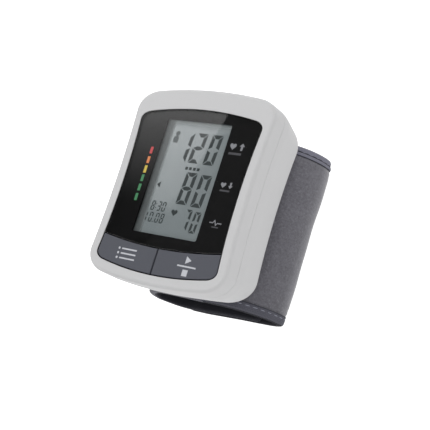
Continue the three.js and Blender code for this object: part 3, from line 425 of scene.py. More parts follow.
def bump(height, strength, distance, **inputs):
    values = {"Height": height, "Strength": strength, "Distance": distance, **inputs}
    return Value(add_node(height.tree, "Bump", values))


def linear(*srgb):
    """Linear colour from values of 0 to 255."""
    v = np.array(srgb, float) / 255
    return (*np.where(v <= 0.04045, v / 12.92, ((v + 0.055) / 1.055) ** 2.4).tolist(), 1.0)


def new_group(effect, colours, numbers):
    """A node group with a place, colours and numbers as inputs, and what the effect makes of them as
    outputs: a colour, a roughness and a normal."""
    tree = bpy.data.node_groups.new(effect.__name__.replace("_", " "), "ShaderNodeTree")
    names = ("Place", *colours, *numbers)
    kinds = ["Vector"] + ["Color"] * len(colours) + ["Float"] * len(numbers)
    for name, kind in zip(names, kinds):
        tree.interface.new_socket(name, in_out="INPUT", socket_type="NodeSocket" + kind)
    results = {"Colour": "Color", "Roughness": "Float", "Normal": "Vector"}
    for name, kind in results.items():
        tree.interface.new_socket(name, in_out="OUTPUT", socket_type="NodeSocket" + kind)
    given, out = tree.nodes.new("NodeGroupInput"), tree.nodes.new("NodeGroupOutput")
    fill(out, dict(zip(results, effect(*[Value(given, name) for name in names]))))
    return tree


def moulded_grain(place, colour, mottle, grain, roughness, rubbed):
    """Moulded plastic: broad flow mottling in the colour, a fine spark-eroded grain, and rubbed patches."""
    broad = noise(place, 55, Detail=3.0, Roughness=0.55)
    fine = noise(place, 2600, Detail=2.0, Roughness=0.6)
    pits = noise(place, 3400, "TexVoronoi")
    shade = 1.0 + ((broad - 0.5) * mottle + (fine - 0.5) * (mottle * 0.8))
    return (tinted(colour, shade), roughness.maths("ADD", (broad - 0.5) * rubbed, clamp=True),
            bump(fine * 0.6 + pits, grain, 0.00006))


def velour_nap(place, dark, light, depth):
    """Velour: a short pile that lies in drifts, light specks where the tips catch light, and loose fibres."""
    stretch = mapped(place, Scale=(1.0, 2.6, 1.6))
    drift = noise(stretch, 110, Detail=3.0, Roughness=0.6, Distortion=0.4)
    tuft = noise(place, 1100, Detail=4.0, Roughness=0.7)
    fibre = noise(stretch, 2400, Detail=3.0, Roughness=0.7)
    base = mixed((drift * 0.3 + (tuft + fibre * 0.7)).span(0.75, 1.25), dark, light)
    soft = bump(drift, 0.35, 0.0006)
    return (mixed(tuft.span(0.62, 0.72) * 0.5, base, (0.25, 0.25, 0.27, 1.0)),
            drift.span(0.3, 0.7, 0.88, 1.0), bump(tuft + fibre * 0.5, depth, 0.00022, Normal=soft))


def thread_weave(place, dark, light, threads, depth):
    """Woven tape or lining: two crossed sets of threads, one wave along each direction of the surface map,
    each thread rising where it passes over the other."""
    per = threads * (100 * math.pi)
    along, across = [(part * per).maths("SINE") for part in place.parts()[:2]]
    over = (along * across).maths("GREATER_THAN", 0.0)
    height = along.maths("ABSOLUTE") * over + across.maths("ABSOLUTE") * (1.0 - over)
    fuzz = noise(place, 260, Detail=3.0, Roughness=0.65)
    share = (height * 0.55).maths("ADD", fuzz * 0.5, clamp=True)
    return mixed(share, dark, light), fuzz.span(0.3, 0.7, 0.8, 0.95), bump(height, depth, 0.00012)


GRAIN = new_group(moulded_grain, ["Colour"], ["Mottle", "Grain", "Roughness", "Rubbed"])
NAP = new_group(velour_nap, ["Dark", "Light"], ["Depth"])
WEAVE = new_group(thread_weave, ["Dark", "Light"], ["Threads", "Depth"])


def new_material(name, **sockets):
    """A material whose Principled shader has the constants given, its tree and its shader."""
    made = bpy.data.materials.new(name)
    made.use_nodes = True
    shader = made.node_tree.nodes["Principled BSDF"]
    fill(shader, {key.replace("_", " "): value for key, value in sockets.items()})
    return made, made.node_tree, shader


def place_in(tree, surface_map=False):
    """Object coordinates, or the piece's own surface map."""
    if surface_map:
        return Value(add_node(tree, "UVMap", uv_map="surface"), "UV")
    return Value(add_node(tree, "TexCoord"), "Object")


def dressed(name, group, values, surface_map=False, **sockets):
    """A material that takes its colour, roughness and normal from one of the shared groups."""
    made, tree, shader = new_material(name, **sockets)
    effect = add_node(tree, "Group", node_tree=group)
    fill(effect, {"Place": place_in(tree, surface_map), **values})
    fill(shader, {"Base Color": Value(effect, "Colour"), "Roughness": Value(effect, "Roughness"),
                  "Normal": Value(effect, "Normal")})
    return made


def plastic(name, srgb, roughness, mottle=0.05, grain=0.12, rubbed=0.08, **sockets):
    values = {"Mottle": mottle, "Grain": grain, "Roughness": roughness, "Rubbed": rubbed}
    return dressed(name, GRAIN, {"Colour": linear(*srgb), **values}, **sockets)


def metal(name, srgb, roughness):
    return plastic(name, srgb, roughness, mottle=0.12, grain=0.1, rubbed=0.25, Metallic=1.0)


def nap(name, dark, light, depth, **sockets):
    values = {"Dark": linear(*dark), "Light": linear(*light), "Depth": depth}
    return dressed(name, NAP, values, Specular_IOR_Level=0.2, **sockets)


def woven(name, dark, light, threads, depth, **sockets):
    values = {"Dark": linear(*dark), "Light": linear(*light), "Threads": threads, "Depth": depth}
    return dressed(name, WEAVE, values, True, **sockets)


def faded(material, near, far, low):
    """Cloth with painted light: a painted falloff that scales its colour by factors from its near end to its
    far end, and a painted sheen low on the cuff's sides, by a share of a pale grey."""
    shader = material.node_tree.nodes["Principled BSDF"]
    colour = Value(shader.inputs["Base Color"].links[0].from_node, "Colour")
    _, y, z = place_in(material.node_tree).parts()
    # painted falloff: the colour scaled from the near factor to the far factor along the cuff
    colour = tinted(colour, y.span(CUFF_LOW * MM, CUFF_HIGH * MM, near, far))
    # painted sheen: a share of pale grey that grows towards the table
    fill(shader, {"Base Color": mixed(z.span(13.5 * MM, 4.0 * MM, 0.0, low), colour, linear(172, 171, 178))})


def glass_cell():
    """Reflective display cell: grey green, matter along its left and upper edges under the frame, where a
    painted shadow of the frame dims it, and a painted glare that runs lighter towards its upper left and
    dimmer towards its lower right."""
    made, tree, shader = new_material("display cell", Specular_IOR_Level=1.0, IOR=1.75)
    place = place_in(tree)
    x, y, _ = place.parts()
    # left and top run from the strips under the frame to the open cell; in the strips the colour takes a
    # painted shadow of the frame, deepest at the far left
    left, top = x.span(-13.6 * MM, -12.0 * MM), y.span(26.8 * MM, 24.0 * MM)
    edge = x.span(-17.5 * MM, -13.6 * MM, 0.0, 0.22)
    # painted glare: the share is higher towards the upper left and lower towards the lower right
    shade = (y * 0.6 - x).span(-22 * MM, 22 * MM, 0.78, 0.87)
    painted_frame_shadow = (1.0 - left) * (shade - edge) + (1.0 - top) * (left * 0.3)
    share = (shade - painted_frame_shadow).maths("ADD", noise(place, 90, Detail=2.0) * 0.1, clamp=True)
    fill(shader, {
        "Base Color": mixed(share, linear(50, 57, 57), linear(142, 151, 153)),
        "Roughness": (left * top).span(0.0, 1.0, 0.4, 0.07),
        "Normal": bump(noise(place, 1800, Detail=2.0), 0.05, 0.00003)})
    return made


def clear_acrylic():
    """Clear hard coated acrylic with hair scratches that only show in the gloss."""
    made, tree, shader = new_material(
        "clear lens", Base_Color=(1, 1, 1, 1), Transmission_Weight=1.0, IOR=1.49)
    stretch = mapped(place_in(tree), Rotation=(0, 0, 0.6), Scale=(1.0, 14.0, 1.0))
    fill(shader, {"Roughness": noise(stretch, 240, Detail=2.0).span(0.35, 0.75, 0.0, 0.012)})
    return made


SHELL = plastic("satin pale grey plastic", (204, 204, 205), 0.62, mottle=0.035, grain=0.10)
BUTTON = plastic("matte slate plastic", (86, 88, 96), 0.62, mottle=0.07, grain=0.22)
PRINT = plastic("black back print", (17, 17, 18), 0.6, mottle=0.1, grain=0.02, Specular_IOR_Level=0.2)
# painted shade: a near-black colour for the recess round the display and keys, so the gaps there read dark
PAINTED_RECESS_SHADE = plastic("painted recess shade", (22, 22, 24), 0.8, Specular_IOR_Level=0.2)
DARK = plastic("dark plastic", (43, 44, 46), 0.6, mottle=0.12)
WHITE = plastic("white plastic", (226, 226, 222), 0.5)
RUBBER = plastic("black rubber", (58, 59, 63), 0.82, mottle=0.15, grain=0.3)
TUBE = plastic("milky tube", (216, 214, 204), 0.45, mottle=0.06, Subsurface_Weight=0.2)
FILM = plastic("stiff film", (143, 154, 166), 0.35)
BOARD = plastic("green circuit board", (47, 107, 69), 0.42, mottle=0.25, grain=0.3, Coat_Weight=0.3)
STEEL = metal("bright steel", (180, 182, 184), 0.3)
BRASS = metal("spring brass", (184, 154, 85), 0.33)
WRAP = plastic("battery wrap", (109, 122, 134), 0.32, mottle=0.1, Coat_Weight=0.4)
VELOUR = nap("purple grey velour", (85, 84, 90), (118, 117, 124), 0.7,
             Sheen_Weight=1.0, Sheen_Roughness=0.45, Sheen_Tint=(1.0, 1.0, 1.0, 1.0))
# painted falloff and sheen: the velour dimmer at the near end, paler at the far end, and pale low on its
# sides
faded(VELOUR, 0.95, 1.13, 0.6)
HEM_TAPE = woven("ribbed blue grey tape", (79, 79, 89), (117, 117, 128), 1.5, 0.6,
                 Sheen_Weight=0.2, Sheen_Roughness=0.4, Specular_IOR_Level=0.25)
# painted falloff: the tape much dimmer at the near end and paler at the far end
faded(HEM_TAPE, 0.68, 1.55, 0.0)
# painted shade: a darker copy of the tape, for the tape inside the loop and under the loose end's lap
PAINTED_SHADE_TAPE = woven("tape with painted shade", (27, 27, 32), (52, 52, 59), 1.5, 0.6, Specular_IOR_Level=0.2)
LINING = woven("dark woven lining", (27, 27, 30), (54, 54, 59), 2.0, 0.5, Specular_IOR_Level=0.2)
FOAM = nap("thin foam", (58, 58, 64), (84, 84, 90), 0.4)
THREAD = woven("pale thread", (128, 130, 142), (168, 170, 182), 4.0, 0.4)
# dark thread for the far stitches, and painted shade for the cords in the grooves beside the hems
DARK_THREAD_AND_SHADE = woven("dark thread and painted shade", (36, 37, 44), (62, 63, 72), 4.0, 0.4)
INK, SOFT_INK = [plastic(f"printed {tone} ink", srgb, 0.55, mottle=0.08, grain=0.05) for tone, srgb in (
    ("pale", (196, 198, 204)), ("soft", (138, 139, 144)))]
DIM_INK = plastic("printed dim ink", (78, 78, 82), 0.55, mottle=0.1, grain=0.05)
SEGMENT, FAINT_SEGMENT, PALE_SEGMENT = [plastic(name, srgb, 0.5, mottle=0.08, grain=0.0) for name, srgb in (
    ("display segments", (56, 63, 64)), ("small display segments", (50, 57, 58)),
    ("pale display segments", (84, 91, 92)))]
BAR_INKS = {tone: plastic(f"{tone} ink", srgb, 0.5, mottle=0.1) for tone, srgb in (
    ("red", (199, 62, 66)), ("orange", (222, 132, 72)), ("yellow", (214, 190, 74)), ("green", (72, 142, 96)))}
CELL = glass_cell()
LENS = clear_acrylic()
SLOTS = {
    "shell": SHELL, "button": BUTTON, "lens": PRINT, "glass": CELL, "dark_plastic": DARK,
    "white_plastic": WHITE, "board": BOARD, "black_rubber": RUBBER, "tube": TUBE, "steel": STEEL,
    "brass": BRASS, "battery_wrap": WRAP, "velour": VELOUR, "lining": LINING, "binding": HEM_TAPE,
    "foam": FOAM, "film": FILM, "hook": DARK,
}
for part in frame["record"]["subparts"]:
    solid = frame["nodes"][part["node"]]
    solid.data.materials.clear()
    solid.data.materials.append(SLOTS[part["material_slot"]])

# ---------------------------------------------------------------- case


def window_ring(z, grow=0.0):
    """The display opening of the front cover: a nearly square cornered outline."""
    size = {"waist": 20.0, "side": 20.0, "apex": 27.0, "shoulder": 27.0, "corner": 1.5}
    return lifted(outline(size, -grow, GLASS_MIDDLE), z)


def panel_ring(z, inset=0.0):
    return lifted(outline(PANEL, inset, PANEL_MIDDLE), z)


def front_shell():
    """One closed skin: display opening, panel recess, face, rounded edge, side, seam, inner wall."""
    rings = [window_ring(CASE_CEILING), window_ring(PANEL_FLOOR - 0.1), window_ring(PANEL_FLOOR, 0.1)]
    rings += [panel_ring(PANEL_FLOOR, 0.25), panel_ring(PANEL_FLOOR + 0.05, 0.05)]
    rings += [panel_ring(CASE_FACE - RECESS_ROUND * back, -RECESS_ROUND * out) for back, out in quarter(5)]
    rings += [panel_ring(CASE_FACE, -0.3), case_ring(CASE_FACE, FACE_ROUND + 0.12)]
    rings += rounded_rings(CASE_FACE, -FACE_DROP, FACE_ROUND, 0.0, 10)
    rings += [case_ring(z) for z in np.linspace(CASE_FACE - FACE_DROP - 0.4, SEAM + 0.2, 8)]
    rings += [case_ring(SEAM + rise, inset) for rise, inset in (
        (0.08, 0.03), (SEAM_GAP, 0.12), (SEAM_GAP, 0.9), (1.5, 0.9), (1.5, CASE_WALL))]
    rings += [case_ring(CASE_CEILING - 0.4, CASE_WALL), case_ring(CASE_CEILING, CASE_WALL + 0.4)]
    return skin(rings, [r[:, :2] for r in rings], closed=True)


def rear_shell():
    """A cup: its outer skin runs from the seam down to the flat back and its inner skin rises again.

    Both skins have the same columns and the same heights beside the door, so that the opening is the
    faces left out of each, joined by walls."""
    heights = np.concatenate([
        np.linspace(SEAM - 0.3, DOOR_Z[1], 7), np.linspace(DOOR_Z[1], DOOR_Z[0] + 1.6, 8)[1:]])
    lip = [case_ring(SEAM + rise, inset) for rise, inset in (
        (1.2, 1.3), (1.1, SEAM_LIP), (-SEAM_GAP, SEAM_LIP), (-SEAM_GAP, 0.12), (-0.08, 0.03))]
    outer = [case_ring(z) for z in heights]
    outer += rounded_rings(CASE_BACK, BACK_RISE, BACK_ROUND, 0.0, 24)[-2::-1]
    outer.append(case_ring(CASE_BACK, BACK_ROUND + 0.1))
    levels = np.array([r[0, 2] for r in outer])
    high, low = [int(np.argmin(abs(levels - z))) for z in DOOR_Z[::-1]]
    inner = [case_ring(z, CASE_WALL) for z in (SEAM + 1.2, SEAM - 0.3, *levels[high:low + 1])]
    floor = rounded_rings(CASE_FLOOR, BACK_RISE - 2.6, BACK_ROUND - CASE_WALL, CASE_WALL, 8)[::-1]
    inner += [r for r in floor if r[0, 2] < levels[low] - 0.1]
    rings = np.array(lip + outer + inner[::-1])
    rows, columns = rings.shape[:2]
    bottom = len(lip) + len(outer) - 1
    door_first = columns // 2 + OUTLINE_STEPS[0]
    door_last = door_first + OUTLINE_STEPS[1]
    outer_rows = len(lip) + high, len(lip) + low
    inner_rows = rows - 3 - (low - high), rows - 3

    keep = np.ones((rows, columns), bool)
    keep[bottom] = False  # two flat faces close the skins here
    for first, last in (outer_rows, inner_rows):
        keep[first:last, door_first:door_last] = False
    faces = grid_faces(rows, columns, True).reshape(rows, columns, 4)[keep].tolist()
    faces.append([bottom * columns + k for k in range(columns)])
    faces.append([(bottom + 1) * columns + k for k in range(columns)][::-1])

    def border(top, low):
        """Point numbers round the opening in one skin, from its upper edge."""
        step = 1 if low > top else -1
        places = [(top, c) for c in range(door_first, door_last)]
        places += [(r, door_last) for r in range(top, low, step)]
        places += [(low, c) for c in range(door_last, door_first, -1)]
        places += [(r, door_first) for r in range(low, top, -step)]
        return [r * columns + c for r, c in places]

    outside, inside = border(*outer_rows), border(*inner_rows[::-1])
    faces += [list(f) for f in zip(outside, inside, inside[1:] + inside[:1], outside[1:] + outside[:1])]
    return outward((rings.reshape(-1, 3), faces, rings[:, :, :2].reshape(-1, 2)))


def left_skin(y, z, inset):
    """Outer face of the case's left side, drawn in by inset: x = -(side - (side - waist)(1 - (y/h)^2)).

    Near the back the side draws in along the ellipse of its rounded edge."""
    size = case_size(z)
    lean = np.clip(1 - (z - CASE_BACK) / BACK_RISE, 0, 1)
    edge = BACK_ROUND * (1 - np.sqrt(1 - lean**2))
    sag = (size["side"] - size["waist"]) * (1 - (y / (size["shoulder"] - size["corner"])) ** 2)
    return -(size["side"] - sag - edge - inset)


def door_shape():
    """A slab of the case's side with rounded borders, a thumb dish with ridges, and two tongues."""
    (y0, y1), (z0, z1) = [(low + DOOR_CLEAR, high - DOOR_CLEAR) for low, high in (DOOR_Y, DOOR_Z)]
    border = DOOR_ROUND * (1 - quarter(6)[:, 0])
    ys, zs = [
        np.concatenate([low + border, np.linspace(low + DOOR_ROUND, high - DOOR_ROUND, count)[1:-1],
                        (high - border)[::-1]])
        for low, high, count in ((y0, y1, 120), (z0, z1, 46))]
    y, z = np.meshgrid(ys, zs, indexing="ij")
    from_edge = np.minimum(np.minimum(y - y0, y1 - y), np.minimum(z - z0, z1 - z))
    drop = DOOR_ROUND * (1 - np.sqrt(1 - np.clip(1 - from_edge / DOOR_ROUND, 0, 1) ** 2))
    across, up = y - (y0 + y1) / 2, z - (z0 + z1) / 2
    reach = (across / DISH_LONG) ** 2 + (up / DISH_HIGH) ** 2
    dish = DISH_DEPTH * (1 - smoothstep(reach, 0.55, 1.0))
    ridges = 0.5 + 0.5 * np.cos(across * 2 * math.pi / RIDGE_PITCH)
    ridges = RIDGE_HEIGHT * (1 - smoothstep(reach, 0.5, 0.8)) * ridges
    outer, inner = [
        np.stack([left_skin(y, z, inset), y, z], -1) for inset in (drop + dish - ridges, CASE_WALL)]
    tongue = np.array([[-32.0, -2], [-28.3, -1.7], [-28.3, 1.7], [-32.0, 2]])
    tongues = [plate(tongue + [0, at], 37.5, 38.5, 0.25, 0.25, 4) for at in (-15.5, 12.5)]
    return joined(sheet(outer, inner, np.stack([y, z], -1)), *tongues)


def sleeves(places, radius, bore, low, high):
    """Open ended sleeves, one at each place."""
    ring = np.column_stack(circle(28))
    return joined(*[walled(ring * radius + place, ring * bore + place, low, high) for place in places])


front = piece("case_front", front_shell(), SHELL, "monitor", ["front_cover"])
# the opening, the recess floor and its walls get the painted shade, so the gaps round the lens and keys read
# dark
paint(front, PAINTED_RECESS_SHADE, np.arange(len(front.data.polygons)) < PAINTED_SHADE_RINGS * len(outline(PANEL)))
cut(front, *[peg((s * STEM_X, STEM_Y), STEM_RADIUS + 0.3, STEM_BOTTOM, 55.0) for s in (-1, 1)])
rear = piece("case_rear", rear_shell(), SHELL, "monitor", ["rear_cover"])
front_bosses = joined(
    sleeves(CASE_SCREWS, radius=2.8, bore=1.4, low=41.2, high=53.4),
    sleeves(BOARD_SCREWS, radius=2.2, bore=1.1, low=50.8, high=53.4))
rear_bosses = sleeves(CASE_SCREWS, radius=3.0, bore=1.4, low=31.2, high=40.9)
piece("case_front_bosses", front_bosses, SHELL, "monitor")
piece("case_rear_bosses", rear_bosses, SHELL, "monitor")
plate_size = {"waist": 19.3, "side": 19.3, "apex": 29.025, "shoulder": 29.025, "corner": 3.0}
seat = outline(plate_size, 0, -1.475, (-20, 20))
wells = [peg(place, radius=2.2, low=28.0, high=36.0) for place in CASE_SCREWS]
cut(rear, *wells, skin([lifted(seat, 28.0), lifted(seat, 30.0)]))
piece("battery_cover", door_shape(), SHELL, "door", ["battery_door"])

# ---------------------------------------------------------------- display and keys


def boundary(x):
    """Lower edge of the lens: a parabola that rises towards the sides."""
    return BOUNDARY_MIDDLE + BOUNDARY_RISE * (x / BOUNDARY_RIM) ** 2


def first_run(points, kept):
    """The unbroken run of a closed outline's points that are kept, and the number of its first one."""
    first = int(np.flatnonzero(kept & ~np.roll(kept, 1))[0])
    return np.roll(points, -first, 0)[: int(kept.sum())], first


def panel_part(above, inset):
    """The panel's outline above or below the boundary curve, closed along the curve itself."""
    ring = outline(PANEL, inset, PANEL_MIDDLE, (-20, 20), (14, 40, 14, 18, 48))
    shift = BOUNDARY_GAP if above else -BOUNDARY_GAP

    def over(points):
        return points[..., 1] - boundary(points[..., 0]) - shift

    def crossing(a, b):
        return a + (b - a) * over(a) / (over(a) - over(b))

    run, first = first_run(ring, (over(ring) > 0) == above)
    start = crossing(ring[first - 1], run[0])
    end = crossing(run[-1], ring[(first + len(run)) % len(ring)])
    x = np.linspace(end[0], start[0], 60)[1:-1]
    return np.concatenate([[start], run, [end], np.column_stack([x, boundary(x) + shift])])


def key_part(side):
    """One key: the panel below the boundary, on one side of the slit between the keys."""
    ring = panel_part(False, KEY_INSET)
    run, _ = first_run(ring, (ring[:, 0] - KEY_SPLIT) * side > KEY_SLIT)
    slit = KEY_SPLIT + KEY_SLIT * side
    ends = [[slit, boundary(slit) - BOUNDARY_GAP], [slit, PANEL_MIDDLE - PANEL["apex"] + KEY_INSET]]
    return np.concatenate([run, ends[::side]])


def print_layer():
    """The black print under the lens: the lens's outline with the display window left clear."""
    outer = mitred(lens_outline, 0.05)
    corners = np.array([WINDOW_X, WINDOW_Y])
    middle, half = corners.mean(axis=1), np.ptp(corners, axis=1) / 2
    away = outer - middle
    inner = middle + away / np.max(abs(away) / half, axis=1)[:, None]
    return walled(outer, inner, LENS_BOTTOM - 0.08, LENS_BOTTOM - 0.02)


def bar(x0, y0, x1, y1):
    return np.array([[x0, y0], [x1, y0], [x1, y1], [x0, y1]], float)


lens_outline = panel_part(True, LENS_INSET)
lens = piece("clear_lens", plate(lens_outline, LENS_BOTTOM, PANEL_TOP, 0.22, 0.05), LENS, "monitor",
             ["display_lens"])
lens.visible_shadow = lens.visible_diffuse = False
piece("lens_print", print_layer(), PRINT, "monitor", angle=20)
window = bar(WINDOW_X[0], WINDOW_Y[0], WINDOW_X[1], WINDOW_Y[1])
gasket = walled(mitred(window, -1.0), window, GLASS_TOP + 0.03, LENS_BOTTOM - 0.09)
piece("window_gasket", gasket, PRINT, "monitor", flat=True)
wide, long = GLASS_HALF
cell = bar(-wide, GLASS_MIDDLE - long, wide, GLASS_MIDDLE + long)
cell = plate(cell, GLASS_BOTTOM, GLASS_TOP, round_top=0.12, round_bottom=0.12, steps=3)
piece("display_cell", cell, CELL, "monitor", ["lcd_panel"])

SURFACE, PRINTED, CELL_FACE = (0.0, 0.0), (-0.62, 0.2), (-1.2, 0.39)


def on_display(x, y, level=CELL_FACE):
    """Place from millimetres right and down of the window's upper left corner, as it looks through the
    lens: a mark at a level below the lens's face is moved by the level's shift, so that it appears there."""
    return (x - 17) * 0.954 + level[0], 26.33 - y + level[1]


LIT = {"0": "abcdef", "1": "bc", "2": "abged", "3": "abgcd", "7": "abc", "8": "abcdefg"}


def segment_shapes(w, h, t):
    """The seven segments of a numeral w wide and h high with strokes t thick, mitred where they meet."""
    m = h / 2
    return {
        "a": [(0, h), (t, h - t), (w - t, h - t), (w, h)],
        "b": [(w, h), (w - t, h - t), (w - t, m + t / 2), (w, m)],
        "c": [(w, m), (w - t, m - t / 2), (w - t, t), (w, 0)],
        "d": [(0, 0), (w, 0), (w - t, t), (t, t)],
        "e": [(0, 0), (t, t), (t, m - t / 2), (0, m)],
        "f": [(0, m), (t, m + t / 2), (t, h - t), (0, h)],
        "g": [(0, m), (t, m - t / 2), (w - t, m - t / 2), (w, m), (w - t, m + t / 2), (t, m + t / 2)],
    }


def numeral(text, x0, y0, x1, y1, thick, slant=0.07, gap=0.16):
    """One seven segment numeral in a box that is given right and down of the window's corner. It leans by
    slant, and a thin gap parts its segments."""
    (left, bottom), (right, top) = on_display(x0, y1), on_display(x1, y0)
    h = top - bottom
    w = right - left - h * slant
    if text == "1":
        left, w = right - h * slant - (w + 3 * thick) / 2, 2 * thick
    shapes = []
    for name in LIT[text]:
        ring = mitred(np.array(segment_shapes(w, h, thick)[name], float), gap * min(1.0, thick))
        ring[:, 0] += ring[:, 1] * slant
        shapes.append(plate(ring + [left, bottom], *SEGMENT_LEVEL))
    return shapes


big = []
for text, thick, box in (
        ("1", 1.95, (14.4, 4.0, 16.5, 16.8)), ("2", 1.95, (17.05, 3.9, 23.75, 16.7)),
        ("0", 1.95, (24.75, 3.95, 31.45, 16.75)), ("0", 1.95, (25.3, 20.5, 32.1, 34.0)),
        ("8", 1.95, (17.65, 20.2, 24.55, 33.7)), ("7", 1.4, (23.75, 34.85, 27.95, 43.75)),
        ("0", 1.4, (28.3, 35.3, 32.6, 44.2))):
    big += numeral(text, *box, thick)
small = []
for y0, y1, row in (
        (33.5, 37.6, (("8", 5.8), ("3", 9.1), ("0", 11.5))),
        (38.2, 42.4, (("1", 4.2), ("0", 6.5), ("0", 9.8), ("8", 12.3)))):
    for text, x in row:
        small += numeral(text, x, y0, x + 2.35, y1, 0.68, gap=0.13)


def disc(x, y, radius, count=20):
    return np.column_stack(circle(count)) * radius + [x, y]


def heart(x, y, width):
    """A heart from its usual parametric curve: 16 sin^3 t, 13 cos t - 5 cos 2t - 2 cos 3t - cos 4t."""
    t = np.linspace(0, 2 * math.pi, 40, endpoint=False)
    across = 16 * np.sin(t) ** 3
    up = 13 * np.cos(t) - 5 * np.cos(2 * t) - 2 * np.cos(3 * t) - np.cos(4 * t)
    ring = np.column_stack([across, up])[::-1] * width / 32
    return ring + [x, y]


def person_body(x, y):
    """Shoulders and body of the little figure: a half circle over a box with a narrower foot."""
    angle = np.linspace(0, math.pi, 13)
    arch = np.column_stack([1.3 * np.cos(angle), 0.2 + 1.5 * np.sin(angle)])
    return np.concatenate([[[-1.1, -1.3], [1.1, -1.3]], arch]) + [x, y]


def small_marks():
    """On the cell: a heart, a triangle, four dots in a row, a colon and a stop."""
    x, y = on_display(18.8, 37.1)
    flats = [heart(x, y, 3.0)]
    x, y = on_display(6.4, 26.85)
    flats.append(np.array([[x - 0.9, y], [x + 0.7, y - 1.3], [x + 0.7, y + 1.3]]))
    for k in range(4):
        x, y = on_display(17.15 + 2.0 * k, 19.45)
        flats.append(bar(x, y, x + 1.3, y + 1.2))
    points = ((8.55, 34.8), (8.55, 36.3), (9.15, 42.0))
    return flats + [disc(*on_display(*place), 0.25, 10) for place in points]


def printed_bar(x0, y0, x1, y1):
    """A bar on the print under the lens, between two places right and down of the window's corner."""
    (left, top), (right, low) = on_display(x0, y0, PRINTED), on_display(x1, y1, PRINTED)
    return bar(left, low, right, top)


def arrow(x, y, size, up):
    """A short fat arrow about a middle."""
    way = 1 if up else -1
    ring = np.array([
        [-0.16, -0.5], [0.16, -0.5], [0.16, 0.05], [0.42, 0.05], [0, 0.5], [-0.42, 0.05], [-0.16, 0.05]])
    ring = ring * size * [1, way]
    return (ring if up else ring[::-1]) + [x, y]


def wave_line(x, y, width, height, thick):
    """A pulse line: a flat stretch, a peak, a trough and a flat stretch, as a band of even thickness."""
    line = np.array([[0, 0], [0.28, 0], [0.4, 1], [0.55, -0.8], [0.66, 0], [1, 0]]) * [width, height / 2]
    edge = np.diff(line, axis=0)
    normal = np.column_stack([-edge[:, 1], edge[:, 0]]) / np.linalg.norm(edge, axis=1)[:, None]
    point = np.concatenate([normal[:1], (normal[1:] + normal[:-1]) / np.maximum(
        1 + np.einsum("ij,ij->i", normal[1:], normal[:-1]), 0.5)[:, None], normal[-1:]])
    ring = np.concatenate([line - point * thick / 2, (line + point * thick / 2)[::-1]])
    return ring + [x, y]


def mark(name, flats, level, material, body="monitor", solids=()):
    """A piece of flat marks at a level."""
    piece(name, joined(*solids, *[plate(f, *level) for f in flats]), material, body, flat=True)


mark("display_numerals", [], SEGMENT_LEVEL, SEGMENT, solids=big)
mark("display_small_marks", small_marks(), SEGMENT_LEVEL, FAINT_SEGMENT, solids=small)
user_x, user_y = on_display(7.8, 5.05)
mark("display_user_mark", [disc(user_x, user_y, 1.05), person_body(user_x - 0.2, user_y - 2.65)],
     SEGMENT_LEVEL, PALE_SEGMENT)
for index, (tone, y0, y1) in enumerate((
        ("red", 11.9, 14.8), ("orange", 16.0, 18.9), ("yellow", 19.9, 23.0),
        ("green", 23.8, 26.6), ("green", 27.7, 30.6), ("green", 31.7, 34.7))):
    mark(f"level_mark_{index + 1}", [printed_bar(-3.92, y0, -2.52, y1)], INK_LEVEL, BAR_INKS[tone])

(x1, y1), (x2, y2), (x3, y3) = [on_display(*p, PRINTED) for p in ((37.3, 7.8), (38.4, 23.4), (37.4, 38.5))]
mark("lens_labels", [
    heart(x1, y1, 3.0), arrow(x1 + 4.2, y1, 3.0, True), heart(x2, y2, 2.5), arrow(x2 + 3.4, y2, 2.5, False),
    wave_line(x3, y3, 5.6, 2.0, 0.4)], INK_LEVEL, SOFT_INK)
label_bars = ((36.0, 10.3, 42.2, 11.2), (37.4, 25.3, 42.2, 26.0), (39.0, 39.9, 42.2, 40.4))
mark("lens_label_bars", [printed_bar(*box) for box in label_bars], INK_LEVEL, DIM_INK)


def memory_mark():
    """Three stacked rows, each a dot and a line."""
    x, low = on_display(-3.6, 58.4, SURFACE)
    rows = [low + 1.9 * k for k in range(3)]
    return [f for y in rows for f in (disc(x + 0.6, y, 0.5, 16), bar(x + 2.0, y - 0.3, x + 9.6, y + 0.3))]


def start_mark():
    """A triangle over a line over a square."""
    x, y = on_display(33.2, 56.8, SURFACE)
    triangle = np.array([[x - 1.1, y + 1.0], [x + 1.5, y + 2.5], [x - 1.1, y + 4.0]])
    return [bar(x - 4.4, y - 0.3, x + 4.4, y + 0.3), triangle, bar(x - 1.25, y - 3.7, x + 1.25, y - 1.2)]


for name, side, flats in (("memory", -1, memory_mark()), ("start", 1, start_mark())):
    cap = plate(key_part(side), PANEL_TOP - 1.0, PANEL_TOP, 0.35, 0.1, 7)
    stem = turned([
        (0.01, STEM_BOTTOM), (STEM_RADIUS - 0.2, STEM_BOTTOM), (STEM_RADIUS, STEM_BOTTOM + 0.2),
        (STEM_RADIUS, PANEL_TOP - 0.95), (0.01, PANEL_TOP - 0.95)], (side * STEM_X, STEM_Y))
    piece(f"{name}_cap", joined(cap, stem), BUTTON, f"{name}_key", [f"{name}_button"])
    mark(f"{name}_mark", flats, KEY_LEVEL, INK, f"{name}_key")

# ---------------------------------------------------------------- cuff


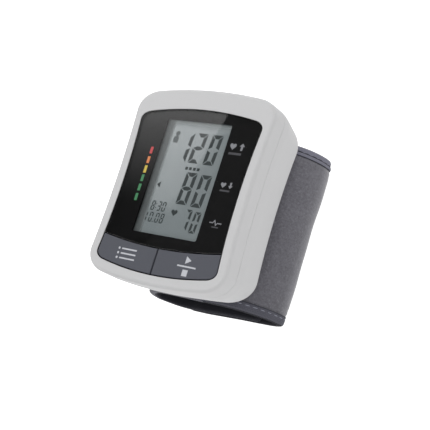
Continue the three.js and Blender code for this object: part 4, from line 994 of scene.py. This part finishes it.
def loop_point(turn, depth):
    """A point of the cuff's loop, a depth below its outer face.

    Six stretches are numbered round it: the top flat, two quarter ellipses down the left, the bottom
    flat, and two quarter ellipses up the right. Depth runs along the ellipse's normal."""
    turn, depth = np.broadcast_arrays(np.asarray(turn, float), np.asarray(depth, float))
    wrapped = np.mod(turn, 6.0)
    number = np.floor(wrapped).astype(int) % 6
    share = wrapped - np.floor(wrapped)
    top, low, side = LOOP_TOP_FLAT / 2, LOOP_BOTTOM_FLAT / 2, LOOP_WIDTH / 2
    rise = LOOP_HEIGHT - LOOP_MIDDLE
    stretches = np.array([
        (0, 1, 1, 0), (-top, side - top, rise, 0.5), (-low, side - low, LOOP_MIDDLE, 1.0),
        (0, 1, 1, 0), (low, side - low, LOOP_MIDDLE, 1.5), (top, side - top, rise, 0.0)])
    middle, across, up, start = np.moveaxis(stretches[number], -1, 0)
    angle = (start + share / 2) * math.pi
    x = middle + across * np.cos(angle)
    z = LOOP_MIDDLE + up * np.sin(angle)
    nx, nz = np.cos(angle) / across, np.sin(angle) / up
    long = np.hypot(nx, nz)
    nx, nz = nx / long, nz / long
    flat_top, flat_low = number == 0, number == 3
    x = np.where(flat_top, top - 2 * top * share, np.where(flat_low, -low + 2 * low * share, x))
    z = np.where(flat_top, LOOP_HEIGHT, np.where(flat_low, 0.0, z))
    nx = np.where(flat_top | flat_low, 0.0, nx)
    nz = np.where(flat_top, 1.0, np.where(flat_low, -1.0, nz))
    return x - nx * depth, z - nz * depth


def pairs(a, b):
    """Two arrays of numbers, stretched to one shape, as pairs."""
    return np.stack(np.broadcast_arrays(a, b), -1)


def walked_along(points):
    """Distance walked to each point of a line."""
    return np.concatenate([[0], np.cumsum(np.linalg.norm(np.diff(points, axis=0), axis=1))])


class Strip:
    """A band of the cuff: a map from (distance along, place across, depth) to space."""

    def __init__(self, start, end, thick_at, dip, corner, dent, on_table):
        self.thick_at, self.dip, self.dent, self.on_table = thick_at, dip, dent, on_table
        self.turns = np.linspace(start, end, 3000)
        self.along = walked_along(np.column_stack(loop_point(self.turns, dip(self.turns))))
        self.length = float(self.along[-1])
        self.path, self.inward, self.walked = self.hem_path(corner)

    def turn(self, s):
        return np.interp(s, self.along, self.turns)

    def thick(self, s):
        return self.thick_at(self.turn(s))

    def at(self, s, y, depth):
        """Space points: the loop at that distance, sunk by the lap's dip, dented on its left at the near
        end, and drawn towards that end on the table."""
        s, y, depth = np.broadcast_arrays(s, y, depth)
        turn = self.turn(s)
        near = self.dent * np.exp(-(((turn - 1.5) / 0.4) ** 2) - ((y - CUFF_LOW) / 16) ** 2)
        x, z = loop_point(turn, depth + self.dip(turn) + near)
        skew = np.exp(-(((np.mod(turn, 6.0) - 3.0) / 0.7) ** 2)) * np.clip(y / CUFF_LOW, 0, 1)
        return np.stack([x, y - skew, z], -1)

    def lay(self, s, y, depth, level):
        """Space points from the strip's start on, kept above the table where the strip lies on it."""
        space = self.at(np.maximum(s, 0), y, depth)
        if self.on_table:
            space[..., 2] = np.maximum(space[..., 2], TABLE[level])
        return space

    def hem_path(self, corner, step=1.1):
        """Down one side of the strip, round its end with rounded corners, and back up the other side:
        points (along, across), the direction that leads inwards, and the distance walked."""
        end = self.length
        straight = np.arange(0, end - corner, step)
        across = np.arange(CUFF_LOW + corner, CUFF_HIGH - corner, step)[1:]
        back, out = corner * quarter(9).T
        points = np.concatenate([
            np.column_stack([straight, 0 * straight + CUFF_LOW]),
            np.column_stack([end - back, CUFF_LOW + out]),
            np.column_stack([0 * across + end, across]),
            np.column_stack([end - back, CUFF_HIGH - out])[::-1],
            np.column_stack([straight, 0 * straight + CUFF_HIGH])[::-1],
        ])
        way = np.gradient(points, axis=0)
        way /= np.linalg.norm(way, axis=1)[:, None]
        return points, np.column_stack([-way[:, 1], way[:, 0]]), walked_along(points)

    def beside(self, walk, side):
        """Places (along, across) at distances walked along the hem, and distances inwards from it."""
        line, lead = [
            np.stack([np.interp(walk, self.walked, a[:, k]) for k in (0, 1)], -1)[..., None, :]
            for a in (self.path, self.inward)]
        flat = line + lead * side[..., None]
        return flat[..., 0], flat[..., 1]


def lap_dip(turn):
    return LAP_DEPTH * smoothstep(turn, 2.55, 3.3)


def towards_tip(turn):
    """0 on the loose end, and 1 at its tip."""
    return 1 - smoothstep(turn, TIP_TURN, 3.12)


def tip_dip(turn):
    """The loose end's tip sinks a little into the cuff below it."""
    return 0.6 * towards_tip(turn)


def flap_thick(turn):
    """The loose end starts as thick as the padded cuff that it leaves, and is pressed thin at its tip."""
    return FLAP_THICK + (CUFF_THICK - FLAP_THICK) * smoothstep(turn, 5.1, 5.6) - 1.7 * towards_tip(turn)


def cuff_thick(turn):
    return CUFF_THICK + 0 * turn


flap = Strip(6 + STRIPS_MEET, TIP_TURN, flap_thick, tip_dip, corner=3.0, dent=0.0, on_table=True)
fixed = Strip(STRIPS_MEET, 4.28, cuff_thick, lap_dip, corner=2.5, dent=1.9, on_table=False)


def from_sides(y):
    """Distance to the nearer of a strip's two long sides."""
    return np.minimum(y - CUFF_LOW, CUFF_HIGH - y)


def puff(strip, s, y):
    """How far the velour stands out: it rises over 2.2 mm from the hems, with a faint groove 2.9 mm from
    them, and a little more towards its far end. It lies flat under the case, on the table and in the lap."""
    turn = strip.turn(s)
    _, z = loop_point(turn, 0)
    from_hem = np.minimum(from_sides(y), strip.length - s) - HEM
    rise = np.sqrt(np.clip(from_hem / 2.2, 0, 1)) * (1 - 0.35 * smoothstep(-from_hem, -1.2, 0.0))
    groove = 0.22 * np.exp(-(((from_hem - 2.9) / 0.45) ** 2))
    wave = sum(size * np.sin(y / across + s / along) for size, across, along in (
        (0.10, 5.3, 9.0), (0.08, -8.7, 4.1), (0.07, 2.9, -13.0)))
    free = smoothstep(-z, -27.2, -23.0) * smoothstep(z, 0.3, 3.0)
    if strip is fixed:
        free = free * (1 - smoothstep(turn, 1.9, 2.3))
    swell = 0.3 * smoothstep(y, 8.0, 26.0)
    return free * (rise * (0.78 + swell + wave) - groove)


def slab(strip, outer, inner, margin, rows, columns):
    """A closed slab of a strip between two depth functions, inside the hems by a margin."""
    s = np.linspace(0, strip.length - margin, rows)[:, None]
    edge = np.array([0, 0.25, 0.6, 1.0, 1.5, 2.1, 2.8])
    y0, y1 = CUFF_LOW + margin, CUFF_HIGH - margin
    y = np.concatenate([y0 + edge, np.linspace(y0 + 3.6, y1 - 3.6, columns), (y1 - edge)[::-1]])[None, :]
    return sheet(strip.lay(s, y, outer(s, y), "velour"), strip.at(s, y, inner(s, y)), pairs(s, y))


def hem_section(leg=0.42):
    """A tape folded round the edge: two legs joined by half an ellipse, as (inwards, depth, share of the
    strip's thickness that is added to the depth) triples."""
    t = np.linspace(-math.pi / 2, math.pi / 2, 13)
    outside = np.column_stack([1.1 - 1.1 * np.cos(t), 0 * t, 0.5 + 0.5 * np.sin(t)])
    fold = np.column_stack([1.25 - 0.8 * np.cos(t), -leg * np.sin(t), 0.5 + 0.5 * np.sin(t)])[::-1]
    legs = np.linspace(HEM, 1.6, 6)
    puffed = -0.10 * np.sin((legs - 1.1) / (HEM - 1.1) * math.pi)
    upper = np.column_stack([legs, puffed, 0 * legs])
    lower = np.column_stack([legs[::-1], -puffed[::-1], 0 * legs + 1])
    tip_in = np.array([[HEM + 0.05, -leg / 2, 1]])
    tip_out = np.array([[HEM + 0.05, leg / 2, 0]])
    back_low = np.column_stack([legs, 0 * legs - leg, 0 * legs + 1])
    back_up = np.column_stack([legs[::-1], 0 * legs + leg, 0 * legs])
    return np.concatenate([upper, outside, lower, tip_in, back_low, fold, back_up, tip_out])


def hem(strip):
    """The tape folded round a strip's edge, with a slight ripple along it."""
    section = hem_section()
    where = strip.path[:, None, :] + strip.inward[:, None, :] * section[None, :, :1]
    ripple = 0.05 * np.sin(strip.walked / 1.7) + 0.04 * np.sin(strip.walked / 3.1 + 1.0)
    s, y = np.maximum(where[..., 0], 0), where[..., 1]
    depth = section[:, 1] + section[:, 2] * strip.thick(s) + ripple[:, None]
    around = walked_along(np.column_stack([section[:, 0], section[:, 1] + section[:, 2] * FLAP_THICK]))
    return skin(strip.lay(s, y, depth, "hem"), pairs(strip.walked[:, None], around))


def stitches(strip, span, inset, length, pitch, radius, lift):
    """Short round ended dashes of thread along a span of the hem, each a six sided lozenge sunk half way."""
    starts = np.arange(pitch, strip.walked[-1] - pitch, pitch)
    starts = starts[(starts > span[0]) & (starts < span[1])]
    u = np.linspace(0, 1, 5)
    right, up = circle(6)
    girth = np.sqrt(np.clip(1 - (2 * u - 1) ** 4, 0.02, 1))[:, None] * radius
    s, y = strip.beside(starts[:, None] + u * length, inset + girth * right)
    return joined(*[skin(rings) for rings in strip.lay(s, y, -lift - girth * up * 0.7, "thread")])


def piping(strip, start, end, inset, radius, level="groove"):
    """A thin raised ridge along a stretch of the hem."""
    walk = np.linspace(start, end, 160)
    right, up = circle(10)
    side = inset + radius * right
    s, y = strip.beside(walk, side)
    return skin(strip.lay(s, y, -0.1 - radius * 0.75 * up, level), pairs(walk[:, None], side))


def cuff_pieces(strip, stem, velour_nodes, lining_nodes, hem_nodes):
    """The layers of one strip: velour, lining, hem, threads, ridge, and dark cords of painted shadow along
    the grooves. Returns the objects.
    """
    made = []

    def add(name, shape, material, nodes=(), angle=35.0):
        made.append(piece(f"{stem}_{name}", shape, material, stands_for=nodes, angle=angle))

    def lining_face(s, y):
        soft = np.sin(s / 3.7 + y / 6.0) * smoothstep(from_sides(y), 4.0, 9.0)
        return strip.thick(s) - 0.45 + 0.18 * soft

    rows, tuck = int(strip.length / 0.85), 2.0  # rows of points, and how far cloth runs under the hem
    velour = slab(strip, lambda s, y: 0.45 - puff(strip, s, y), lambda s, y: 1.1, tuck, rows, 70)
    lining = slab(strip, lambda s, y: strip.thick(s) - 0.95, lining_face, tuck, rows // 2, 36)
    add("velour", velour, VELOUR, velour_nodes)
    add("lining", lining, LINING, lining_nodes)
    add("hem", hem(strip), HEM_TAPE, hem_nodes, angle=60)

    count = len(hem_section())
    # the inner half of the tape's fold, and on the cuff the stretch the loose end laps over, take the painted
    # shade tape
    row, side = np.divmod(np.arange(len(made[-1].data.polygons)), count)
    lapped = np.append((strip is fixed) & (strip.turn(strip.path[:, 0]) > LAPPED_TURN), False)
    turned_in = (side >= (14 if strip is fixed else 9)) & (side < count - 1)
    paint(made[-1], PAINTED_SHADE_TAPE, turned_in | lapped[np.minimum(row, len(lapped) - 1)])

    far, last = strip.length + (CUFF_HIGH - CUFF_LOW) - 8, strip.walked[-1]
    pale = stitches(strip, (0, far), inset=2.8, length=2.1, pitch=3.2, radius=0.18, lift=0.10)
    dark = stitches(strip, (far, last), inset=2.35, length=2.7, pitch=3.3, radius=0.17, lift=0.06)
    add("thread", pale, THREAD)
    add("far_thread", dark, DARK_THREAD_AND_SHADE)
    add("piping", piping(strip, far, last, HEM - 0.5, 0.6, "piping"), HEM_TAPE)
    # dark cords beside the ridge and along the hem's inner edge are painted shadow in the grooves there
    grooves = ((far, last, HEM + 0.25, 0.2), (far, last, HEM - 1.2, 0.16), (0.5, far, HEM + 0.05, 0.12))
    add("groove", joined(*[piping(strip, *groove) for groove in grooves]), DARK_THREAD_AND_SHADE)
    return made


def swelled(deep, more):
    """Depth of a layer that swells away from the strip's long sides."""
    return lambda s, y: deep + more * np.sqrt(np.clip(from_sides(y) / 12 - 0.55, 0, 1))


def hook_field():
    """The hook pad on the loose end's inner face: a backing with rows of small hooks as ridged dots."""
    end = flap.length - HEM
    s = np.linspace(end - HOOK_PAD, end, 60)[:, None]
    y = np.linspace(CUFF_LOW + HEM, CUFF_HIGH - HEM, 120)[None, :]
    nubs = 0.14 * np.maximum(0, np.sin(s * math.pi / 0.8) * np.sin(y * math.pi))
    thick = flap.thick(s)
    return sheet(flap.at(s, y, thick - 0.1), flap.at(s, y, thick + 0.3 + nubs), np.zeros((*nubs.shape, 2)))


loose = cuff_pieces(flap, "loose_end", ["flap_outer_cloth", "flap_interlining"], ["flap_inner_cloth"],
                    ["flap_binding"])
held = cuff_pieces(fixed, "cuff", ["cuff_outer_cloth"], ["cuff_inner_cloth"], ["cuff_binding"])
film = slab(fixed, swelled(1.15, 0), swelled(1.45, 0), margin=2.2, rows=90, columns=20)
air_cell = slab(fixed, swelled(1.9, -0.3), swelled(2.1, 0.5), margin=7.0, rows=90, columns=40)
held.append(piece("cuff_film", film, FILM, stands_for=["cuff_stiffener"]))
held.append(piece("cuff_air_cell", air_cell, RUBBER, stands_for=["air_bladder"]))
for made in loose:
    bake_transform(made)
for made in held:
    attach(made, "monitor")
piece("hook_field", hook_field(), DARK, "loose_end", ["hook_pad"])

# ---------------------------------------------------------------- camera, stage and light


def stand(made, right, back, place):
    """Puts an object at a place, by the directions of its right side and its back."""
    matrix = np.eye(4)
    matrix[:3, :3] = np.column_stack([right, np.cross(back, right), back])
    matrix[:3, 3] = np.array(place) * MM
    made.matrix_world = Matrix(matrix.tolist())


def level_right(up, back):
    """The level direction to the right of one that looks away from back."""
    right = np.cross(up, back)
    return right / np.linalg.norm(right)


def photo_camera():
    """The camera worked out from the photograph: bearings a and b, roll, shift and distance."""
    a, b, roll = np.radians([36.72, 10.81, 17.53])
    shift_x, shift_y, distance = -13.09, 13.93, 424.69
    back = np.array([math.sin(a), -math.sin(b), 0.0])
    back[2] = math.sqrt(1 - back @ back)
    level = level_right([0, 1, 0], back)
    right = level * math.cos(roll) + np.cross(back, level) * math.sin(roll)
    up = np.cross(back, right)
    place = np.array([0, 2.83, 56.3]) - shift_x * right - shift_y * up + distance * back
    data = bpy.data.cameras.new("camera")
    data.sensor_width, data.lens = SENSOR, FOCAL_PIXELS * SENSOR / PICTURE_PIXELS
    data.clip_start, data.clip_end = 0.01, 50
    scene.camera = new_object("camera", data)
    stand(scene.camera, right, back, place)
    return place


def bare_material(name):
    """A material without a shader, and its tree."""
    made = bpy.data.materials.new(name)
    made.use_nodes = True
    made.node_tree.nodes.remove(made.node_tree.nodes["Principled BSDF"])
    return made, made.node_tree


def floor_material():
    """Pale floor: diffuse with a little light of its own for the camera, and clear from below."""
    made, tree = bare_material("pale floor")
    rays = add_node(tree, "LightPath")
    seen = Value(rays, "Is Camera Ray").maths("MAXIMUM", Value(rays, "Is Transmission Ray"))
    seen = seen.maths("MAXIMUM", Value(rays, "Is Glossy Ray"))
    paper = Value(add_node(tree, "BsdfDiffuse", {"Color": (0.5, 0.5, 0.5, 1)}))
    glow = Value(add_node(tree, "Emission", {"Strength": seen * 0.6 + 0.4}))
    both = Value(add_node(tree, "AddShader", {0: paper, 1: glow}))
    clear = Value(add_node(tree, "BsdfTransparent"))
    below = Value(add_node(tree, "NewGeometry"), "Backfacing")
    choice = Value(add_node(tree, "MixShader", {0: below, 1: both, 2: clear}))
    fill(tree.nodes["Material Output"], {"Surface": choice})
    return made


def flat_sheet(name, corners, material):
    mesh = bpy.data.meshes.new(name)
    mesh.from_pydata([tuple(np.array(c, float) * MM) for c in corners], [], [list(range(len(corners)))])
    mesh.materials.append(material)
    made = new_object(name, mesh)
    return made


def glare_card():
    """A pale card overhead that only the gloss sees. Its outline is drawn on the lens and carried along
    the mirrored lines of sight to a plane above, which scales it about the camera's mirror image."""
    mirror = np.array([eye[0], eye[1], 2 * PANEL_TOP - eye[2]])
    grow = (CARD_HEIGHT - mirror[2]) / (PANEL_TOP - mirror[2])

    def overhead(right, down):
        return mirror[:2] + grow * (np.array(on_display(right, down, SURFACE)) - mirror[:2])

    corners = [(*overhead(*p), CARD_HEIGHT) for p in (
        (-26, -20), (32.6, -14), (29.8, -4.8), (23.3, 15.0), (16.2, 33.5), (9.2, 51.7), (-26, 51.7))]
    made, tree = bare_material("pale card")
    _, y, _ = place_in(tree).parts()
    fade = y.span(overhead(0, 36)[1] * MM, overhead(0, -6)[1] * MM)
    inner = Value(add_node(tree, "LightPath"), "Transmission Depth").maths("GREATER_THAN", 3.5)
    outer, later = fade.maths("POWER", 1.4), fade.maths("POWER", 0.1) * 0.93
    glow = add_node(tree, "Emission", {"Strength": outer + inner * (later - outer)})
    fill(tree.nodes["Material Output"], {"Surface": Value(glow)})
    card = flat_sheet("glare_card", corners, made)
    card.visible_camera = card.visible_diffuse = card.visible_shadow = False


def lamp(name, place, power, size):
    """A square soft lamp turned to the part, that lights surfaces without showing in the gloss."""
    data = bpy.data.lights.new(name, "AREA")
    data.energy, data.size = power, size * MM
    made = new_object(name, data)
    back = np.array(place, float) - LIT_PLACE
    back /= np.linalg.norm(back)
    stand(made, level_right([0, 0, 1], back), back, place)
    made.visible_glossy = made.visible_transmission = False


def sky():
    """Even soft light; white where the camera looks; for the gloss, bright low down and dim overhead."""
    world = bpy.data.worlds.new("studio")
    scene.world = world
    world.use_nodes = True
    rays = add_node(world.node_tree, "LightPath")
    _, _, z = Value(add_node(world.node_tree, "TexCoord"), "Generated").parts()
    gloss, ambient = z.span(0.2, 0.62, 1.0, 0.04), z.span(0.0, 0.9, 0.72, 0.5)
    bright = Value(rays, "Is Glossy Ray").maths("MAXIMUM", Value(rays, "Is Transmission Ray"))
    level = ambient + bright * (gloss - ambient)
    final = level + Value(rays, "Is Camera Ray") * (1.0 - level)
    fill(world.node_tree.nodes["Background"], {"Color": (1, 1, 1, 1), "Strength": final})


SENSOR, FOCAL_PIXELS, PICTURE_PIXELS = 36.0, 1100, 430
LIT_PLACE = np.array([0, 0, 35])
FLOOR_REACH, FLOOR_Z, CARD_HEIGHT = 3000.0, -0.03, 560.0

eye = photo_camera()
floor_corners = [(*corner, FLOOR_Z) for corner in bar(-FLOOR_REACH, -FLOOR_REACH, FLOOR_REACH, FLOOR_REACH)]
flat_sheet("floor", floor_corners, floor_material())
glare_card()
lamp("key", (-420, 380, 760), 3.45, 520)
lamp("right", (800, 220, 600), 1.5, 620)
lamp("near", (60, -900, 380), 1.15, 620)
sky()
scene.view_settings.view_transform = "Standard"
